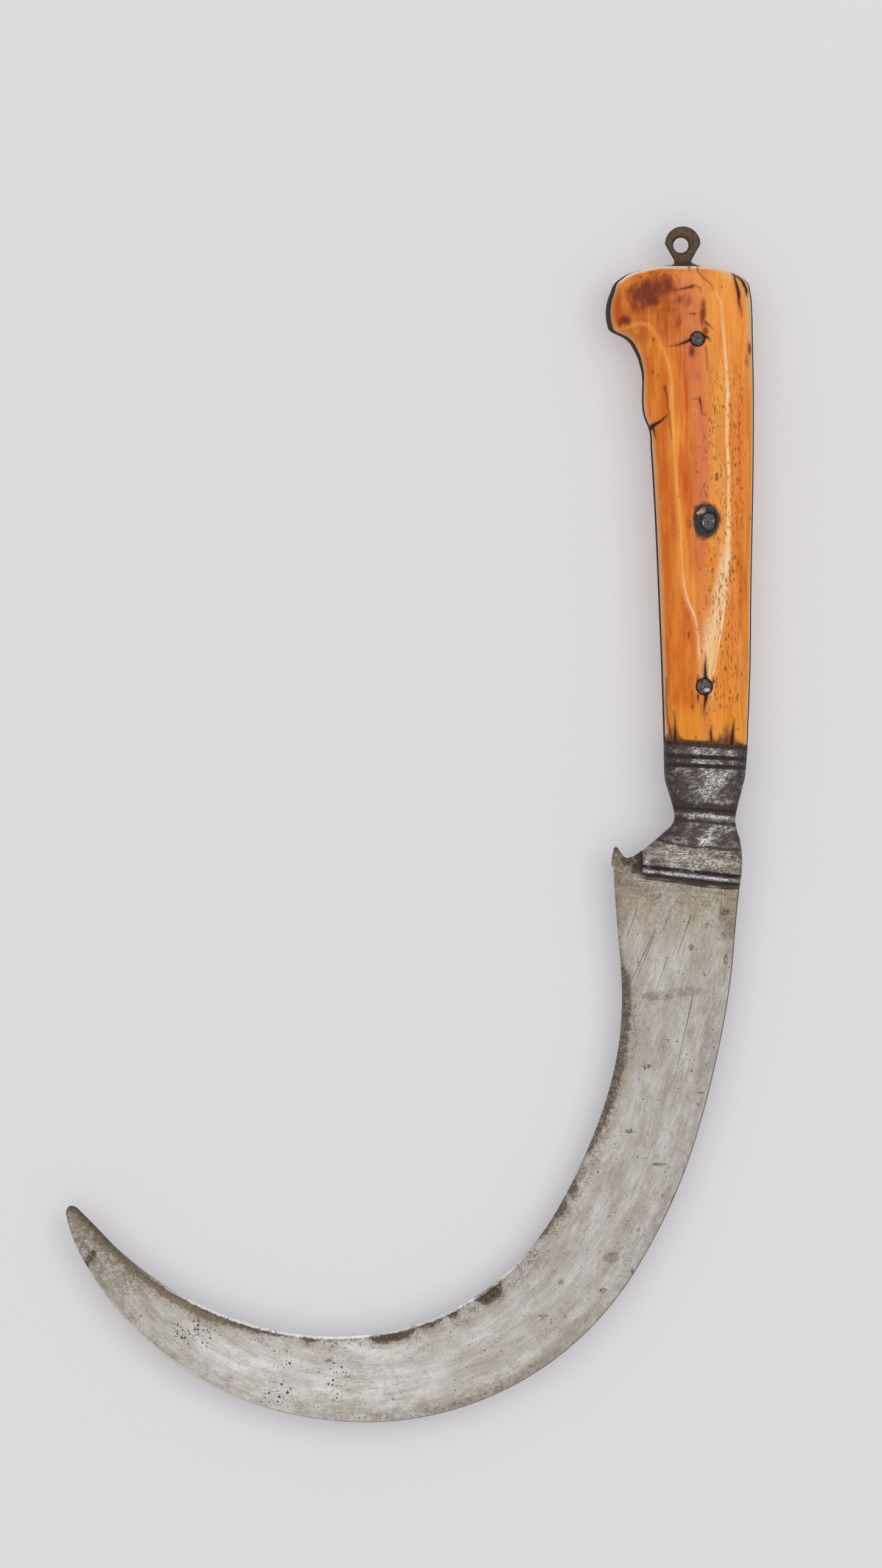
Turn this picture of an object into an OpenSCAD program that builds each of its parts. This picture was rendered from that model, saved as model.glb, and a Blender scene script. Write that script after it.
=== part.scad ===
// Curved knife: a hooked blade forged in one with a full tang, an iron bolster in two halves,
// and two stained ivory grip scales held by three peened rivets, with a hanging eye at the pommel.
// The knife lies on its back scale. +Z runs through the thickness and +Y points to the pommel.
// Inside the modules the origin is the middle of the grip's lower end, on the tang's mid-plane.

/* [Blade outline] */
// Length of the faint counter-bend below the bolster
root_len = 18.8; // [14:0.2:24]
// Radius of that counter-bend
root_r = 346; // [250:1:450]
// Length of the nearly straight shoulder
shoulder_len = 82.9; // [74:0.1:92]
// Radius of the shoulder
shoulder_r = 147.3; // [130:0.1:170]
// Length of the belly, where the blade turns most
belly_len = 73; // [66:0.1:80]
// Radius of the belly
belly_r = 74.3; // [68:0.1:82]
// Length of the last bend to the point
point_len = 94.9; // [86:0.1:104]
// Radius of the last bend
point_r = 83.4; // [76:0.1:95]
// Direction of the blade's middle line as it leaves the bolster, in degrees
root_heading = -92.3; // [-94:0.1:-90]
// Place of the middle line at the bolster, across the grip's axis
root_x = -7.4; // [-8:0.1:-6.6]
// Width at the bolster
root_w = 33.6; // [33:0.1:35.5]
// Width just below the heel
throat_w = 30.4; // [29:0.1:32]
// Width at the narrow of the shoulder
shoulder_w = 26.2; // [24:0.1:28]
// Width where the shoulder ends
upper_w = 26; // [24:0.1:28]
// Width in the middle of the belly
belly_w = 25.5; // [23:0.1:28]
// Width where the belly ends
lower_w = 22.1; // [20:0.1:24]
// Width in the last bend
taper_w = 16; // [14:0.1:18]
// Width where the point begins
point_w = 9.2; // [8:0.1:10.5]
// Width close behind the point
tip_w = 6.4; // [4.8:0.1:7.4]
// Radius that rounds the point
tip_r = 1.6; // [0.8:0.1:2.2]

/* [Blade section] */
// Thickness of the tang and of the blade's root
tang_t = 3.4; // [2.8:0.1:4.4]
// Thickness of the back at the point
tip_t = 1.7; // [1.2:0.1:2.2]
// How far the blade's faces are ground below the tang's
grind_step = 0.05; // [0.03:0.01:0.15]
// Length over which the blunt heel turns into an edge
heel_len = 36; // [25:1:50]
// Width of the sharpened bevel
bevel_w = 1.3; // [0.8:0.1:2]
// Thickness where the bevel starts
bevel_t = 1.1; // [0.8:0.1:1.3]
// Thickness left at the edge
edge_t = 0.16; // [0.1:0.02:0.3]
// Width of the rounding along the back
back_round = 0.5; // [0.3:0.1:0.9]

/* [Spur] */
// Height of the spur above the heel
spur_h = 4.75; // [3.9:0.05:5.2]
// How far the spur's end leans in from the heel
spur_lean = 0.65; // [0.4:0.05:1]
// Radius of the spur's end
spur_r = 0.6; // [0.4:0.05:0.75]
// How far the heel steps in under the spur
heel_step = 0.6; // [0.2:0.1:0.8]
// Distance from the spur's end to the bottom of the notch, across
notch_reach = 3; // [2.8:0.1:3.4]
// Radius of the notch between spur and bolster
notch_r = 1.3; // [1:0.1:1.4]

/* [Bolster] */
// Length from the grip to the blade, along the axis
bolster_l = 36.1; // [34.6:0.1:38]
// Slope of the line where the bolster meets the blade, in degrees
base_slope = 6.4; // [5:0.1:8]
// Thickness at the grip
collar_t = 14.8; // [13:0.1:14.9]
// Thickness at the waist
waist_t = 9.6; // [8.6:0.1:10.8]
// Thickness across the two filed flats
block_t = 12; // [11:0.1:12.8]
// Thickness that the flare would reach without its flats
flare_t = 15.6; // [14.5:0.1:17]
// Distance from the axis to the front end of the filed flats
block_front = 16.8; // [15.8:0.1:17.4]
// Height of the straight wall along the bolster's edges
bolster_wall = 0.6; // [0.3:0.1:0.9]
// Depth of the two filed grooves in the collar
groove_d = 0.4; // [0.2:0.05:0.6]
// Height of the ring at the waist
ring_h = 0.45; // [0.2:0.05:0.7]
// Width of the moulding along the blade
moulding_w = 2.7; // [2.2:0.1:3.2]
// Thickness across the moulding's ridge
moulding_t = 10.6; // [9.6:0.1:11.2]
// Thickness of the low facet in front of the flats
toe_t = 1.3; // [0.8:0.1:1.8]

/* [Grip] */
// Length of the grip on its axis
grip_l = 125.7; // [118:0.5:134]
// Slope of the joint between grip and bolster, in degrees
joint_tilt = 4.6; // [3.5:0.1:6]
// Distance from the axis to the front of the joint
joint_front = 11; // [10.4:0.1:11.8]
// Distance from the axis to the back of the joint
joint_back = 11; // [10.4:0.1:11.4]
// Distance from the axis to the front side below the step
low_front = 14.5; // [13.5:0.1:15.2]
// Distance from the axis to the front side above the step
high_front = 16.1; // [15.7:0.1:16.7]
// Height of the step in the front side, from the joint
step_y = 84.3; // [80:0.1:88]
// Distance from the axis to the back side at its widest
back_bow = 12.65; // [12.2:0.05:13.2]
// Distance from the axis to the end of the beak
beak_reach = 26.2; // [24.5:0.1:28]
// Thickness of each ivory scale at its crown
scale_t = 5.5; // [4.8:0.1:6.2]
// Thickness of the black lac that beds each scale
bedding_t = 0.3; // [0.2:0.05:0.5]
// Height of the straight wall along a scale's edge
scale_wall = 1.1; // [0.7:0.1:1.6]
// Radius that rounds a scale at the pommel
pommel_r = 3; // [2:0.1:4]
// How much of the tang shows round the scales
reveal = 0.35; // [0.25:0.05:0.6]
// How much of the tang shows along the beak
beak_reveal = 1.15; // [0.6:0.05:1.5]
// How far the lac stays inside the tang's outline
lac_inset = 0.06; // [0.04:0.01:0.12]

/* [Rivets] */
// Radius of the rivets' shanks
shank_r = 1.5; // [1.2:0.05:1.6]
// Radial clearance of a shank in its holes
shank_gap = 0.05; // [0.03:0.01:0.12]
// Depth of the seats that take the heads
head_seat = 1.4; // [1:0.1:2]
// Radial clearance of a head in its seat
head_gap = 0.15; // [0.1:0.05:0.3]
// How far the back heads are sunk below the crown
head_sink = 0.15; // [0.1:0.05:0.4]
// Place of the upper rivet across the grip
upper_x = -2.3; // [-3:0.1:-1.6]
// Distance of the upper rivet from the pommel
upper_drop = 19.5; // [18.5:0.1:21]
// Radius of the upper rivet's head
upper_r = 1.85; // [1.75:0.05:2.1]
// How far the upper rivet's head stands up
upper_proud = 0.15; // [0.1:0.05:0.3]
// Place of the middle rivet across the grip
middle_x = 0.7; // [0.3:0.1:1]
// Height of the middle rivet from the joint
middle_y = 58.3; // [54:0.1:62]
// Half width of the middle rivet's oval head
middle_rx = 2; // [1.8:0.05:2.1]
// Half length of the middle rivet's oval head
middle_ry = 2.5; // [2.2:0.05:2.6]
// How deep the middle rivet's head lies below the crown
middle_sink = 0.15; // [0.1:0.05:0.3]
// Place of the lower rivet across the grip
lower_x = -0.5; // [-1:0.1:0.5]
// Height of the lower rivet from the joint
lower_y = 15.1; // [13:0.1:18]
// Radius of the lower rivet's head
lower_r = 2.1; // [1.8:0.05:2.3]
// How far the lower rivet's head stands up
lower_proud = 0.4; // [0.2:0.05:0.6]

/* [Worn recess] */
// Half width of the worn recess round the middle rivet
recess_rx = 3.05; // [2.9:0.05:3.3]
// Half length of the recess
recess_ry = 4; // [3.7:0.05:4.4]
// How far the recess lies to the front of the rivet
recess_shift = 0.85; // [0.8:0.05:0.95]
// Depth of the recess
recess_d = 2.2; // [1.8:0.1:2.8]
// Depth of the lac's surface in the recess
lac_sink = 0.7; // [0.5:0.05:1]
// Length of the sliver wedged beside the rivet
wedge_l = 3; // [2.4:0.1:3.2]
// Width of the sliver
wedge_w = 0.85; // [0.6:0.05:0.9]
// Depth of the sliver's end below the crown
wedge_sink = 0.35; // [0.2:0.05:0.5]

/* [Hanging eye] */
// Radius of the hole in the eye
eye_bore_r = 1.97; // [1.6:0.01:2.3]
// Outer radius of the eye
eye_r = 4.7; // [4.3:0.1:5.2]
// Thickness of the eye
eye_t = 2.8; // [2.2:0.1:3.4]
// Height of the eye's middle above the pommel
eye_h = 5.7; // [5.2:0.1:6.4]
// How far the hole lies in front of the eye's middle
eye_offset = 0.5; // [0:0.1:0.8]
// How far the hole lies below the eye's middle
eye_drop = 0.3; // [0:0.1:0.6]
// Place of the eye across the pommel, from the axis
eye_x = -6; // [-6.6:0.1:-5.2]
// Radius of the neck under the eye
neck_r = 2.2; // [1.8:0.1:2.6]
// Radius of the flared foot on the pommel
foot_r = 4; // [3.5:0.1:4.3]
// How far the foot lies behind the neck
foot_shift = 0.6; // [0:0.1:1]
// Width of the tongue in the tang
tongue_w = 4.4; // [3.4:0.1:5.2]
// Length of the tongue
tongue_l = 12; // [8:0.5:14]
// Clearance round the tongue
tongue_gap = 0.05; // [0.03:0.01:0.12]

/* [Hidden] */
$fn = 48;

steel = [0.72, 0.71, 0.68];
iron = [0.40, 0.38, 0.37];
ivory = [0.88, 0.55, 0.22];
lac = [0.10, 0.09, 0.09];
tan_bone = [0.76, 0.62, 0.42];

half_tang = tang_t / 2;
scale_z = half_tang + bedding_t;
crown_z = scale_z + scale_t;
half_turn = 180;
degrees = half_turn / PI;
// A cutting block that is larger than the knife's own grip and bolster
beyond = 60;

// Value at t of the smooth curve through knots of [place, value], in rising order of place
function rise(k, i) = (k[i + 1][1] - k[i][1]) / (k[i + 1][0] - k[i][0]);
function span(k, i) = k[i + 1][0] - k[i][0];
function slope(k, i) =
  i == 0 ? rise(k, 0)
  : i == len(k) - 1 ? rise(k, i - 1)
  : (span(k, i - 1) * rise(k, i) + span(k, i) * rise(k, i - 1)) / (span(k, i - 1) + span(k, i));
function interval(k, t, i = 0) = (i >= len(k) - 2 || t < k[i + 1][0]) ? i : interval(k, t, i + 1);
function hermite(a, b, ma, mb, h, u) =
  a * (2 * pow(u, 3) - 3 * pow(u, 2) + 1) + b * (3 * pow(u, 2) - 2 * pow(u, 3))
  + h * (ma * (pow(u, 3) - 2 * pow(u, 2) + u) + mb * (pow(u, 3) - pow(u, 2)));
function smooth_at(k, t, i) =
  hermite(k[i][1], k[i + 1][1], slope(k, i), slope(k, i + 1), span(k, i), (t - k[i][0]) / span(k, i));
function smooth(k, t) = smooth_at(k, min(max(t, k[0][0]), k[len(k) - 1][0]), interval(k, t));
function linear(k, t) = lookup(t, k);
function ease(u) = pow(min(max(u, 0), 1), 2) * (3 - 2 * min(max(u, 0), 1));
// A single rounded bump, 1 at its middle and 0 at half_w to either side
function bump(t, middle, half_w) = abs(t - middle) >= half_w ? 0 : pow(cos(90 * (t - middle) / half_w), 2);
// Evenly spaced places from a to b
function steps(a, b, n) = [for (i = [0 : n]) a + (b - a) * i / n];
arch_facets = 16;
function arc(c, r, from, to, n) = [for (a = steps(from, to, n)) c + r * [cos(a), sin(a)]];
function shares(half_x, half_y, power, a) =
  [half_x * sign(cos(a)) * pow(abs(cos(a)), 2 / power), half_y * sign(sin(a)) * pow(abs(sin(a)), 2 / power)];

// A skin over rings of equal length, closed at both ends
module loft(rings) {
  n = len(rings[0]);
  points = [for (ring = rings) each ring];
  sides = [for (j = [0 : len(rings) - 2], i = [0 : n - 1]) each [
    [j * n + i, (j + 1) * n + i, j * n + (i + 1) % n],
    [j * n + (i + 1) % n, (j + 1) * n + i, (j + 1) * n + (i + 1) % n]]];
  first = [for (i = [0 : n - 1]) i];
  last = [for (i = [n - 1 : -1 : 0]) (len(rings) - 1) * n + i];
  polyhedron(points, concat([first], sides, [last]));
}

// The blade's middle line: tangent arcs of [length, bend], with bend positive towards the back
root_rise = 1.7; // height of the middle line's start above the bolster's lower line
root = [root_x, -bolster_l - root_x * tan(base_slope) + root_rise];
bends = [[root_len, 1 / root_r], [shoulder_len, -1 / shoulder_r], [belly_len, -1 / belly_r],
  [point_len, -1 / point_r]];
blade_l = root_len + shoulder_len + belly_len + point_len;
function along(p, h, bend, d) =
  p + [sin(h + bend * d * degrees) - sin(h), cos(h) - cos(h + bend * d * degrees)] / bend;
function middle(s, i = 0, p = root, h = root_heading) =
  (i == len(bends) - 1 || s <= bends[i][0])
  ? [along(p, h, bends[i][1], s), h + bends[i][1] * s * degrees]
  : middle(s - bends[i][0], i + 1, along(p, h, bends[i][1], bends[i][0]),
      h + bends[i][1] * bends[i][0] * degrees);

// Blade width at shares of its length, and how it closes round the tip
tip_fall = [0.69, 0.41]; // the last two widths, as shares of the width at the tip
blade_widths = [[0, root_w], [0.07, throat_w], [0.17, shoulder_w], [0.32, upper_w], [0.5, belly_w],
  [0.68, lower_w], [0.84, taper_w], [0.94, point_w], [0.974, tip_w],
  [0.9885, tip_w * tip_fall[0]], [1, tip_w * tip_fall[1]]];
function blade_w(s) = smooth(blade_widths, s / blade_l) * tip_close(s);
function tip_close(s) = sqrt(1 - pow(min(max((s - blade_l + tip_r) / tip_r, 0), 1), 2));
// A point of the blade, d in from its back
function on_blade(s, d) =
  let (m = middle(s), off = blade_w(s) / 2 - d)
  m[0] + off * [-sin(m[1]), cos(m[1])];
function back_edge(s) = on_blade(s, 0);
function front_edge(s) = on_blade(s, blade_w(s));

// Where the bolster's lower line crosses the blade's two edges, and the heel a little above it
base_y = -bolster_l;
function above_base(p) = p.y + p.x * tan(base_slope) - base_y;
function crossing(p, q) = above_base(p) / (above_base(p) - above_base(q));
lower_back = back_edge(crossing(back_edge(0), back_edge(1)));
lower_front = front_edge(crossing(front_edge(0), front_edge(1)));
heel_rise = 0.5;
heel = front_edge(-heel_rise);
root_lap = 0.6; // how far the blade's skin runs up into the tang
shoulder_back = back_edge(-root_lap);

// Upper half of the blade's section at s: [distance in from the back, height]
belly = 0.55; // share of the back's thickness that is kept half way across
function section_half(s) =
  let (
    w = blade_w(s),
    t = (half_tang - grind_step) * (1 - s / blade_l) + tip_t / 2 * s / blade_l,
    keen = ease(s / heel_len),
    near_tip = min(1, w / (3 * bevel_w)),
    bevel_in = min(bevel_w, w / 4),
    shoulder = (1 - keen) * t + keen * min(t, bevel_t / 2),
    lip = (1 - keen) * (t - back_round / 2) + keen * edge_t / 2
  )
  [[0, (t - back_round / 2) * near_tip], [min(back_round, w / 4), t * near_tip],
    [w / 2, (belly * t + (1 - belly) * shoulder) * near_tip], [w - bevel_in, shoulder * near_tip],
    [w, lip * near_tip]];
function blade_ring(s) =
  let (half = section_half(s))
  concat(
    [for (p = half) let (q = on_blade(s, p[0])) [q.x, q.y, p[1]]],
    [for (i = [len(half) - 1 : -1 : 0]) let (q = on_blade(s, half[i][0])) [q.x, q.y, -half[i][1]]]);
blade_steps = concat([-root_lap], steps(0, blade_l - 4 * tip_r, 72),
  steps(blade_l - 3 * tip_r, blade_l - tip_r, 2),
  [for (a = [30, 55, 75, 86]) blade_l - tip_r + tip_r * sin(a)]);

// Front side of the grip as [height, distance from the axis]; the beak is measured from the pommel
front_low = [[-4, joint_front - 0.1], [0, joint_front], [35, (joint_front + 2 * low_front) / 3 - 1.1],
  [step_y - 7, low_front - 0.1], [step_y - 1.8, low_front + 0.3], [step_y + 1.6, high_front]];
// Shape of the beak as [drop from the pommel, share of the reach beyond the shaft]
beak = [[26.7, 0.1], [22.7, 0.24], [18.9, 0.54], [17.1, 0.89], [15.3, 0.965], [12.4, 1], [7.5, 0.9],
  [3.7, 0.66], [1.7, 0.27], [0.5, -0.25], [0, -0.61]];
front_side = concat(front_low,
  [for (b = beak) [grip_l - b[0], high_front + b[1] * (beak_reach - high_front)]]);
back_side = [[-4, joint_back - 0.15], [0, joint_back], [16, (joint_back + back_bow) / 2 - 0.15],
  [42, back_bow - 0.6], [grip_l - 47, back_bow], [grip_l - 32, back_bow], [grip_l - 18.5, back_bow - 0.25],
  [grip_l - 11.4, back_bow - 0.45], [grip_l - 7.5, back_bow - 0.8], [grip_l - 3.6, back_bow - 2.5],
  [grip_l - 2.4, back_bow - 4.5], [grip_l - 1.1, back_bow - 8.2], [grip_l - 0.5, back_bow - 11.2],
  [grip_l, back_bow - 14.4]];
function front_at(y) = smooth(front_side, y);
function back_at(y) = smooth(back_side, y);
grip_steps = concat(steps(0, step_y - 4, 14), steps(step_y - 3, step_y + 3, 8),
  steps(step_y + 5, grip_l - 22, 7), steps(grip_l - 21, grip_l - 13, 14), steps(grip_l - 12, grip_l - 4, 8),
  steps(grip_l - 3.6, grip_l, 12));

// Spur: its round end, and the notch that parts it from the bolster
spur_tip = [heel.x + spur_lean, heel.y + spur_h];
notch_drop = 1;
notch = [spur_tip.x + notch_reach, spur_tip.y - notch_drop];

// Bolster outline, each side as [height on the axis, distance from it]
waist_y = -19.5;
flare_end = [spur_tip.x + notch_reach + 1.7, -31.4];
bolster_front_side = [[flare_end.y, -flare_end.x], [-29, 15.8], [-26.7, 13.4], [-24.5, 11.2], [-22.3, 9],
  [waist_y, 8.1], [-17.4, 8.5], [-13.5, 9.6], [-10, 10.6], [-8, 10.8], [-4, joint_front - 0.1],
  [0, joint_front]];
bolster_back_side = [[base_y, lower_back.x], [base_y + above_base(shoulder_back), shoulder_back.x],
  [-30, 9.6], [-27.9, 9.45], [-24.3, 9], [-21.5, 8.1], [waist_y, 7.8], [-15.9, 8.35], [-11.9, 9.4],
  [-8.1, 10.3], [-4.2, 10.7], [0, joint_back]];
tilts = [[base_y, base_slope], [waist_y, 5], [-8, 2.5], [-4, 2.5], [0, joint_tilt]];
function tilt_at(y) = linear(tilts, y);
// A point on the station that crosses the axis at y
function on_station(y, x) = [x, y - x * tan(tilt_at(y))];
function flare_at(y) = smooth(bolster_front_side, y);
function rear_at(y) = smooth(bolster_back_side, y);

spur_flank = [0.95, -0.45];
spur_side = [0.15 - heel_step, spur_h - 2.2];
spur_outline = concat(
  arc(notch, notch_r, -60, -150, 6),
  [spur_tip + spur_flank],
  arc(spur_tip, spur_r, 15, 170, 8),
  [heel + spur_side, heel + [-heel_step, heel_rise], heel, lower_front]);

// Outline of everything forged in one with the tang
function turned(list) = [for (i = [len(list) - 1 : -1 : 0]) list[i]];
joint_lap = 3;
lapped_steps = concat([-joint_lap], grip_steps);
function grip_outline(inset) = concat(
  [for (y = lapped_steps) [back_at(y) - inset, min(y, grip_l - inset)]],
  [for (y = turned(lapped_steps)) [-front_at(y) + inset, min(y, grip_l - inset)]]);
tang_outline = concat(
  [for (y = steps(base_y, -0.5, 36)) on_station(y, rear_at(y))],
  [for (y = grip_steps) if (y > 0) [back_at(y), y]],
  [for (y = turned(grip_steps)) if (y > 0) [-front_at(y), y]],
  [for (y = steps(-0.5, flare_end.y, 36)) on_station(y, -flare_at(y))],
  spur_outline);

// Rivet places, front to back through everything
upper = [upper_x, grip_l - upper_drop];
centre = [middle_x, middle_y];
lower = [lower_x, lower_y];
recess = [middle_x - recess_shift, middle_y + 0.2];
eye = [eye_x, grip_l + eye_h];

// Shifts that put the origin under the middle of the knife's box
edge_points = [for (s = blade_steps) each [back_edge(s), front_edge(s)]];
left_x = min([for (p = edge_points) p.x]);
low_y = min([for (p = edge_points) p.y]);
right_x = max([for (y = grip_steps) back_at(y)]);
top_y = eye.y + eye_r;
seat = [-(left_x + right_x) / 2, -(low_y + top_y) / 2, crown_z];

module cut_below_joint() {
  rotate([0, 0, -joint_tilt])
    translate([-beyond, -beyond, -beyond])
      cube([2 * beyond, beyond, 2 * beyond]);
}

module shank_holes() {
  for (p = [upper, centre, lower])
    translate([p.x, p.y, -beyond])
      cylinder(r = shank_r + shank_gap, h = 2 * beyond);
}

module tongue(gap) {
  translate([eye_x - tongue_w / 2 - gap, grip_l - tongue_l - gap, -beyond])
    cube([tongue_w + 2 * gap, tongue_l + 2 * gap + eye_r, 2 * beyond]);
}

module blade() {
  color(steel)
    translate(seat)
      difference() {
        union() {
          translate([0, 0, -half_tang])
            linear_extrude(tang_t)
              polygon(tang_outline);
          loft([for (s = blade_steps) blade_ring(s)]);
        }
        shank_holes();
        tongue(tongue_gap);
      }
}

// Half thickness of the bolster along its axis
mould_y = base_y + moulding_w;
flare_rise = [[base_y, flare_t / 2], [waist_y - 2, waist_t / 2 + 0.1], [waist_y, waist_t / 2],
  [-13.5, (waist_t + collar_t) / 4 + 0.3], [-8, collar_t / 2 - 0.2], [0, collar_t / 2]];
ridge_z = moulding_t / 2;
moulding = [[base_y, ridge_z - 1.4], [base_y + 0.5, ridge_z - 0.3], [base_y + 1.1, ridge_z],
  [base_y + 1.7, ridge_z - 0.3], [base_y + 2.2, ridge_z - 0.8], [mould_y, ridge_z - 0.8]];
groove_ys = [-3.5, -5.8];
function bolster_half(y) =
  y < mould_y ? smooth(moulding, y)
  : smooth(flare_rise, y) + ring_h * bump(y, waist_y, 0.7)
    - groove_d * (bump(y, groove_ys[0], 0.6) + bump(y, groove_ys[1], 0.6) + bump(y, waist_y + 1.1, 0.8));
bolster_power = [[base_y, 7], [-31, 5.5], [-27, 4.2], [waist_y, 2.8], [0, 2.6]];
function bolster_ring(y) =
  let (
    front = -min(flare_at(y), block_front),
    back = rear_at(y),
    mid = (front + back) / 2,
    half = (back - front) / 2,
    power = linear(bolster_power, y),
    lift = bolster_half(y) - half_tang - bolster_wall,
    low = [for (x = [back, front]) let (p = on_station(y, x)) [p.x, p.y, half_tang]]
  )
  concat(low,
    [for (a = steps(half_turn, 0, arch_facets))
      let (c = shares(half, lift, power, a), p = on_station(y, mid + c.x))
      [p.x, p.y, half_tang + bolster_wall + c.y]]);
bolster_steps = concat(steps(base_y, mould_y - 0.05, 7), steps(mould_y, waist_y - 1.5, 14),
  steps(waist_y - 1, waist_y + 2, 10), steps(waist_y + 3, -7, 8), steps(-6.5, -2.5, 16), [-1.2, 0]);
toe_outline = [[-19.5, 5.7], [-18.2, 6.6], [-16.2, 7.6], [-16.2, 2], [-17.7, 2.4], [-19.5, 3.6]];

module bolster_half_solid() {
  difference() {
    loft([for (y = bolster_steps) bolster_ring(y)]);
    translate([-beyond, waist_y - 3 - beyond, block_t / 2])
      cube([2 * beyond, beyond, beyond]);
  }
  translate([0, base_y, half_tang])
    linear_extrude(toe_t)
      polygon(toe_outline);
}

module bolster_front() {
  color(iron)
    translate(seat)
      bolster_half_solid();
}

module bolster_back() {
  color(iron)
    translate(seat)
      mirror([0, 0, 1])
        bolster_half_solid();
}

// Ivory scale, crowned and cut flat at its crown
reveals = [[0, reveal], [grip_l - 31, reveal], [grip_l - 17, beak_reveal], [grip_l - 8, beak_reveal],
  [grip_l, reveal]];
crown_over = 0.25;
scale_power = 2.7;
function pommel_fall(y) = sqrt(1 - pow(min(max((y - grip_l + pommel_r + reveal / 2) / pommel_r, 0), 1), 2));
function scale_ring(y) =
  let (
    front = -front_at(y) + linear(reveals, y),
    back = back_at(y) - reveal,
    mid = (front + back) / 2,
    half = (back - front) / 2,
    lift = (scale_t + crown_over - scale_wall) * pommel_fall(y)
  )
  concat([[back, y, scale_z], [front, y, scale_z]],
    [for (a = steps(half_turn, 0, arch_facets))
      let (c = shares(half, lift, scale_power, a))
      [mid + c.x, y, scale_z + scale_wall + c.y]]);
scale_end = grip_l - reveal / 2 - 0.1;
scale_steps = concat([-joint_lap], [for (y = grip_steps) if (y < scale_end - 0.2) y], [scale_end]);

module scale_body() {
  difference() {
    loft([for (y = scale_steps) scale_ring(y)]);
    cut_below_joint();
    translate([-beyond, -beyond, crown_z])
      cube([2 * beyond, 4 * beyond, beyond]);
    shank_holes();
  }
}

module head_seat_at(p, r) {
  translate([p.x, p.y, crown_z - head_seat])
    cylinder(r = r + head_gap, h = beyond);
}

module oval(p, rx, ry, power) {
  translate(p)
    polygon([for (i = [1 : $fn]) shares(rx, ry, power, 2 * half_turn * i / $fn)]);
}

module recess_outline() {
  oval(recess, recess_rx, recess_ry, 2.4);
}

module scale_front() {
  color(ivory)
    translate(seat)
      difference() {
        scale_body();
        head_seat_at(upper, upper_r);
        head_seat_at(lower, lower_r);
        translate([0, 0, crown_z - recess_d])
          linear_extrude(beyond)
            recess_outline();
      }
}

module scale_back() {
  color(ivory)
    translate(seat)
      mirror([0, 0, 1])
        difference() {
          scale_body();
          head_seat_at(upper, upper_r);
          head_seat_at(centre, middle_rx);
          head_seat_at(lower, lower_r);
        }
}

module bedding() {
  difference() {
    translate([0, 0, half_tang])
      linear_extrude(bedding_t)
        polygon(grip_outline(lac_inset));
    cut_below_joint();
    shank_holes();
  }
}

module bedding_front() {
  color(lac)
    translate(seat)
      bedding();
}

module bedding_back() {
  color(lac)
    translate(seat)
      mirror([0, 0, 1])
        bedding();
}

// A rivet with a shallow domed head in front and a flush one behind
dome_steps = 6;
function dome(r, z, h) = [for (a = steps(0, 90, dome_steps)) [r * cos(a), z + h * sin(a)]];
back_end = -(crown_z - head_sink);
seat_z = crown_z - head_seat;
module rivet(p, r, proud) {
  translate([p.x, p.y, 0])
    rotate_extrude()
      polygon(concat(
        [[0, back_end], [r, back_end], [r, -seat_z], [shank_r, -seat_z], [shank_r, seat_z], [r, seat_z]],
        dome(r, crown_z - proud, 2 * proud)));
}

module rivet_upper() {
  color(iron)
    translate(seat)
      rivet(upper, upper_r, upper_proud);
}

module rivet_lower() {
  color(iron)
    translate(seat)
      rivet(lower, lower_r, lower_proud);
}

module rivet_middle() {
  head_z = crown_z - recess_d;
  color(iron)
    translate(seat) {
      translate([centre.x, centre.y, 0])
        rotate_extrude()
          polygon([[0, back_end], [middle_rx, back_end], [middle_rx, -seat_z], [shank_r, -seat_z],
            [shank_r, head_z], [0, head_z]]);
      translate([0, 0, head_z])
        linear_extrude(recess_d - middle_sink)
          oval(centre, middle_rx, middle_ry, 2);
    }
}

// The sliver lies along the recess's upper front side
wedge_turn = 38;
wedge_at = recess + [-1.2, 2.35];
module wedge_outline() {
  translate(wedge_at)
    rotate(wedge_turn)
      square([wedge_l, wedge_w], center = true);
}

module rivet_wedge() {
  color(tan_bone)
    translate(seat)
      translate([0, 0, crown_z - recess_d])
        linear_extrude(recess_d - wedge_sink)
          wedge_outline();
}

module rivet_fill() {
  color(lac)
    translate(seat)
      translate([0, 0, crown_z - recess_d])
        linear_extrude(recess_d - lac_sink)
          difference() {
            recess_outline();
            oval(centre, middle_rx, middle_ry, 2);
            wedge_outline();
          }
}

// Outline of the flattened eye: round on top, with a blunt corner each side, closing to the neck
lobe = 2;
neck_l = 1.6;
eye_outline = concat(
  arc([0, 0], eye_r, lobe, half_turn - lobe, 24),
  [[-neck_r, neck_l - eye_h], [neck_r, neck_l - eye_h]]);
eye_round = 0.9;
foot_profile = [[0, 0], [foot_r, 0], [foot_r - 0.5, 0.2], [foot_r - 1.3, 0.8], [foot_r - 1.8, neck_l],
  [0, neck_l]];

module eye_disc() {
  rotate_extrude()
    polygon(concat(
      arc([eye_r - eye_round, eye_t / 2 - eye_round], eye_round, 90, 0, 6),
      arc([eye_r - eye_round, eye_round - eye_t / 2], eye_round, 0, -90, 6),
      [[0, -eye_t / 2], [0, eye_t / 2]]));
}

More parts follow.
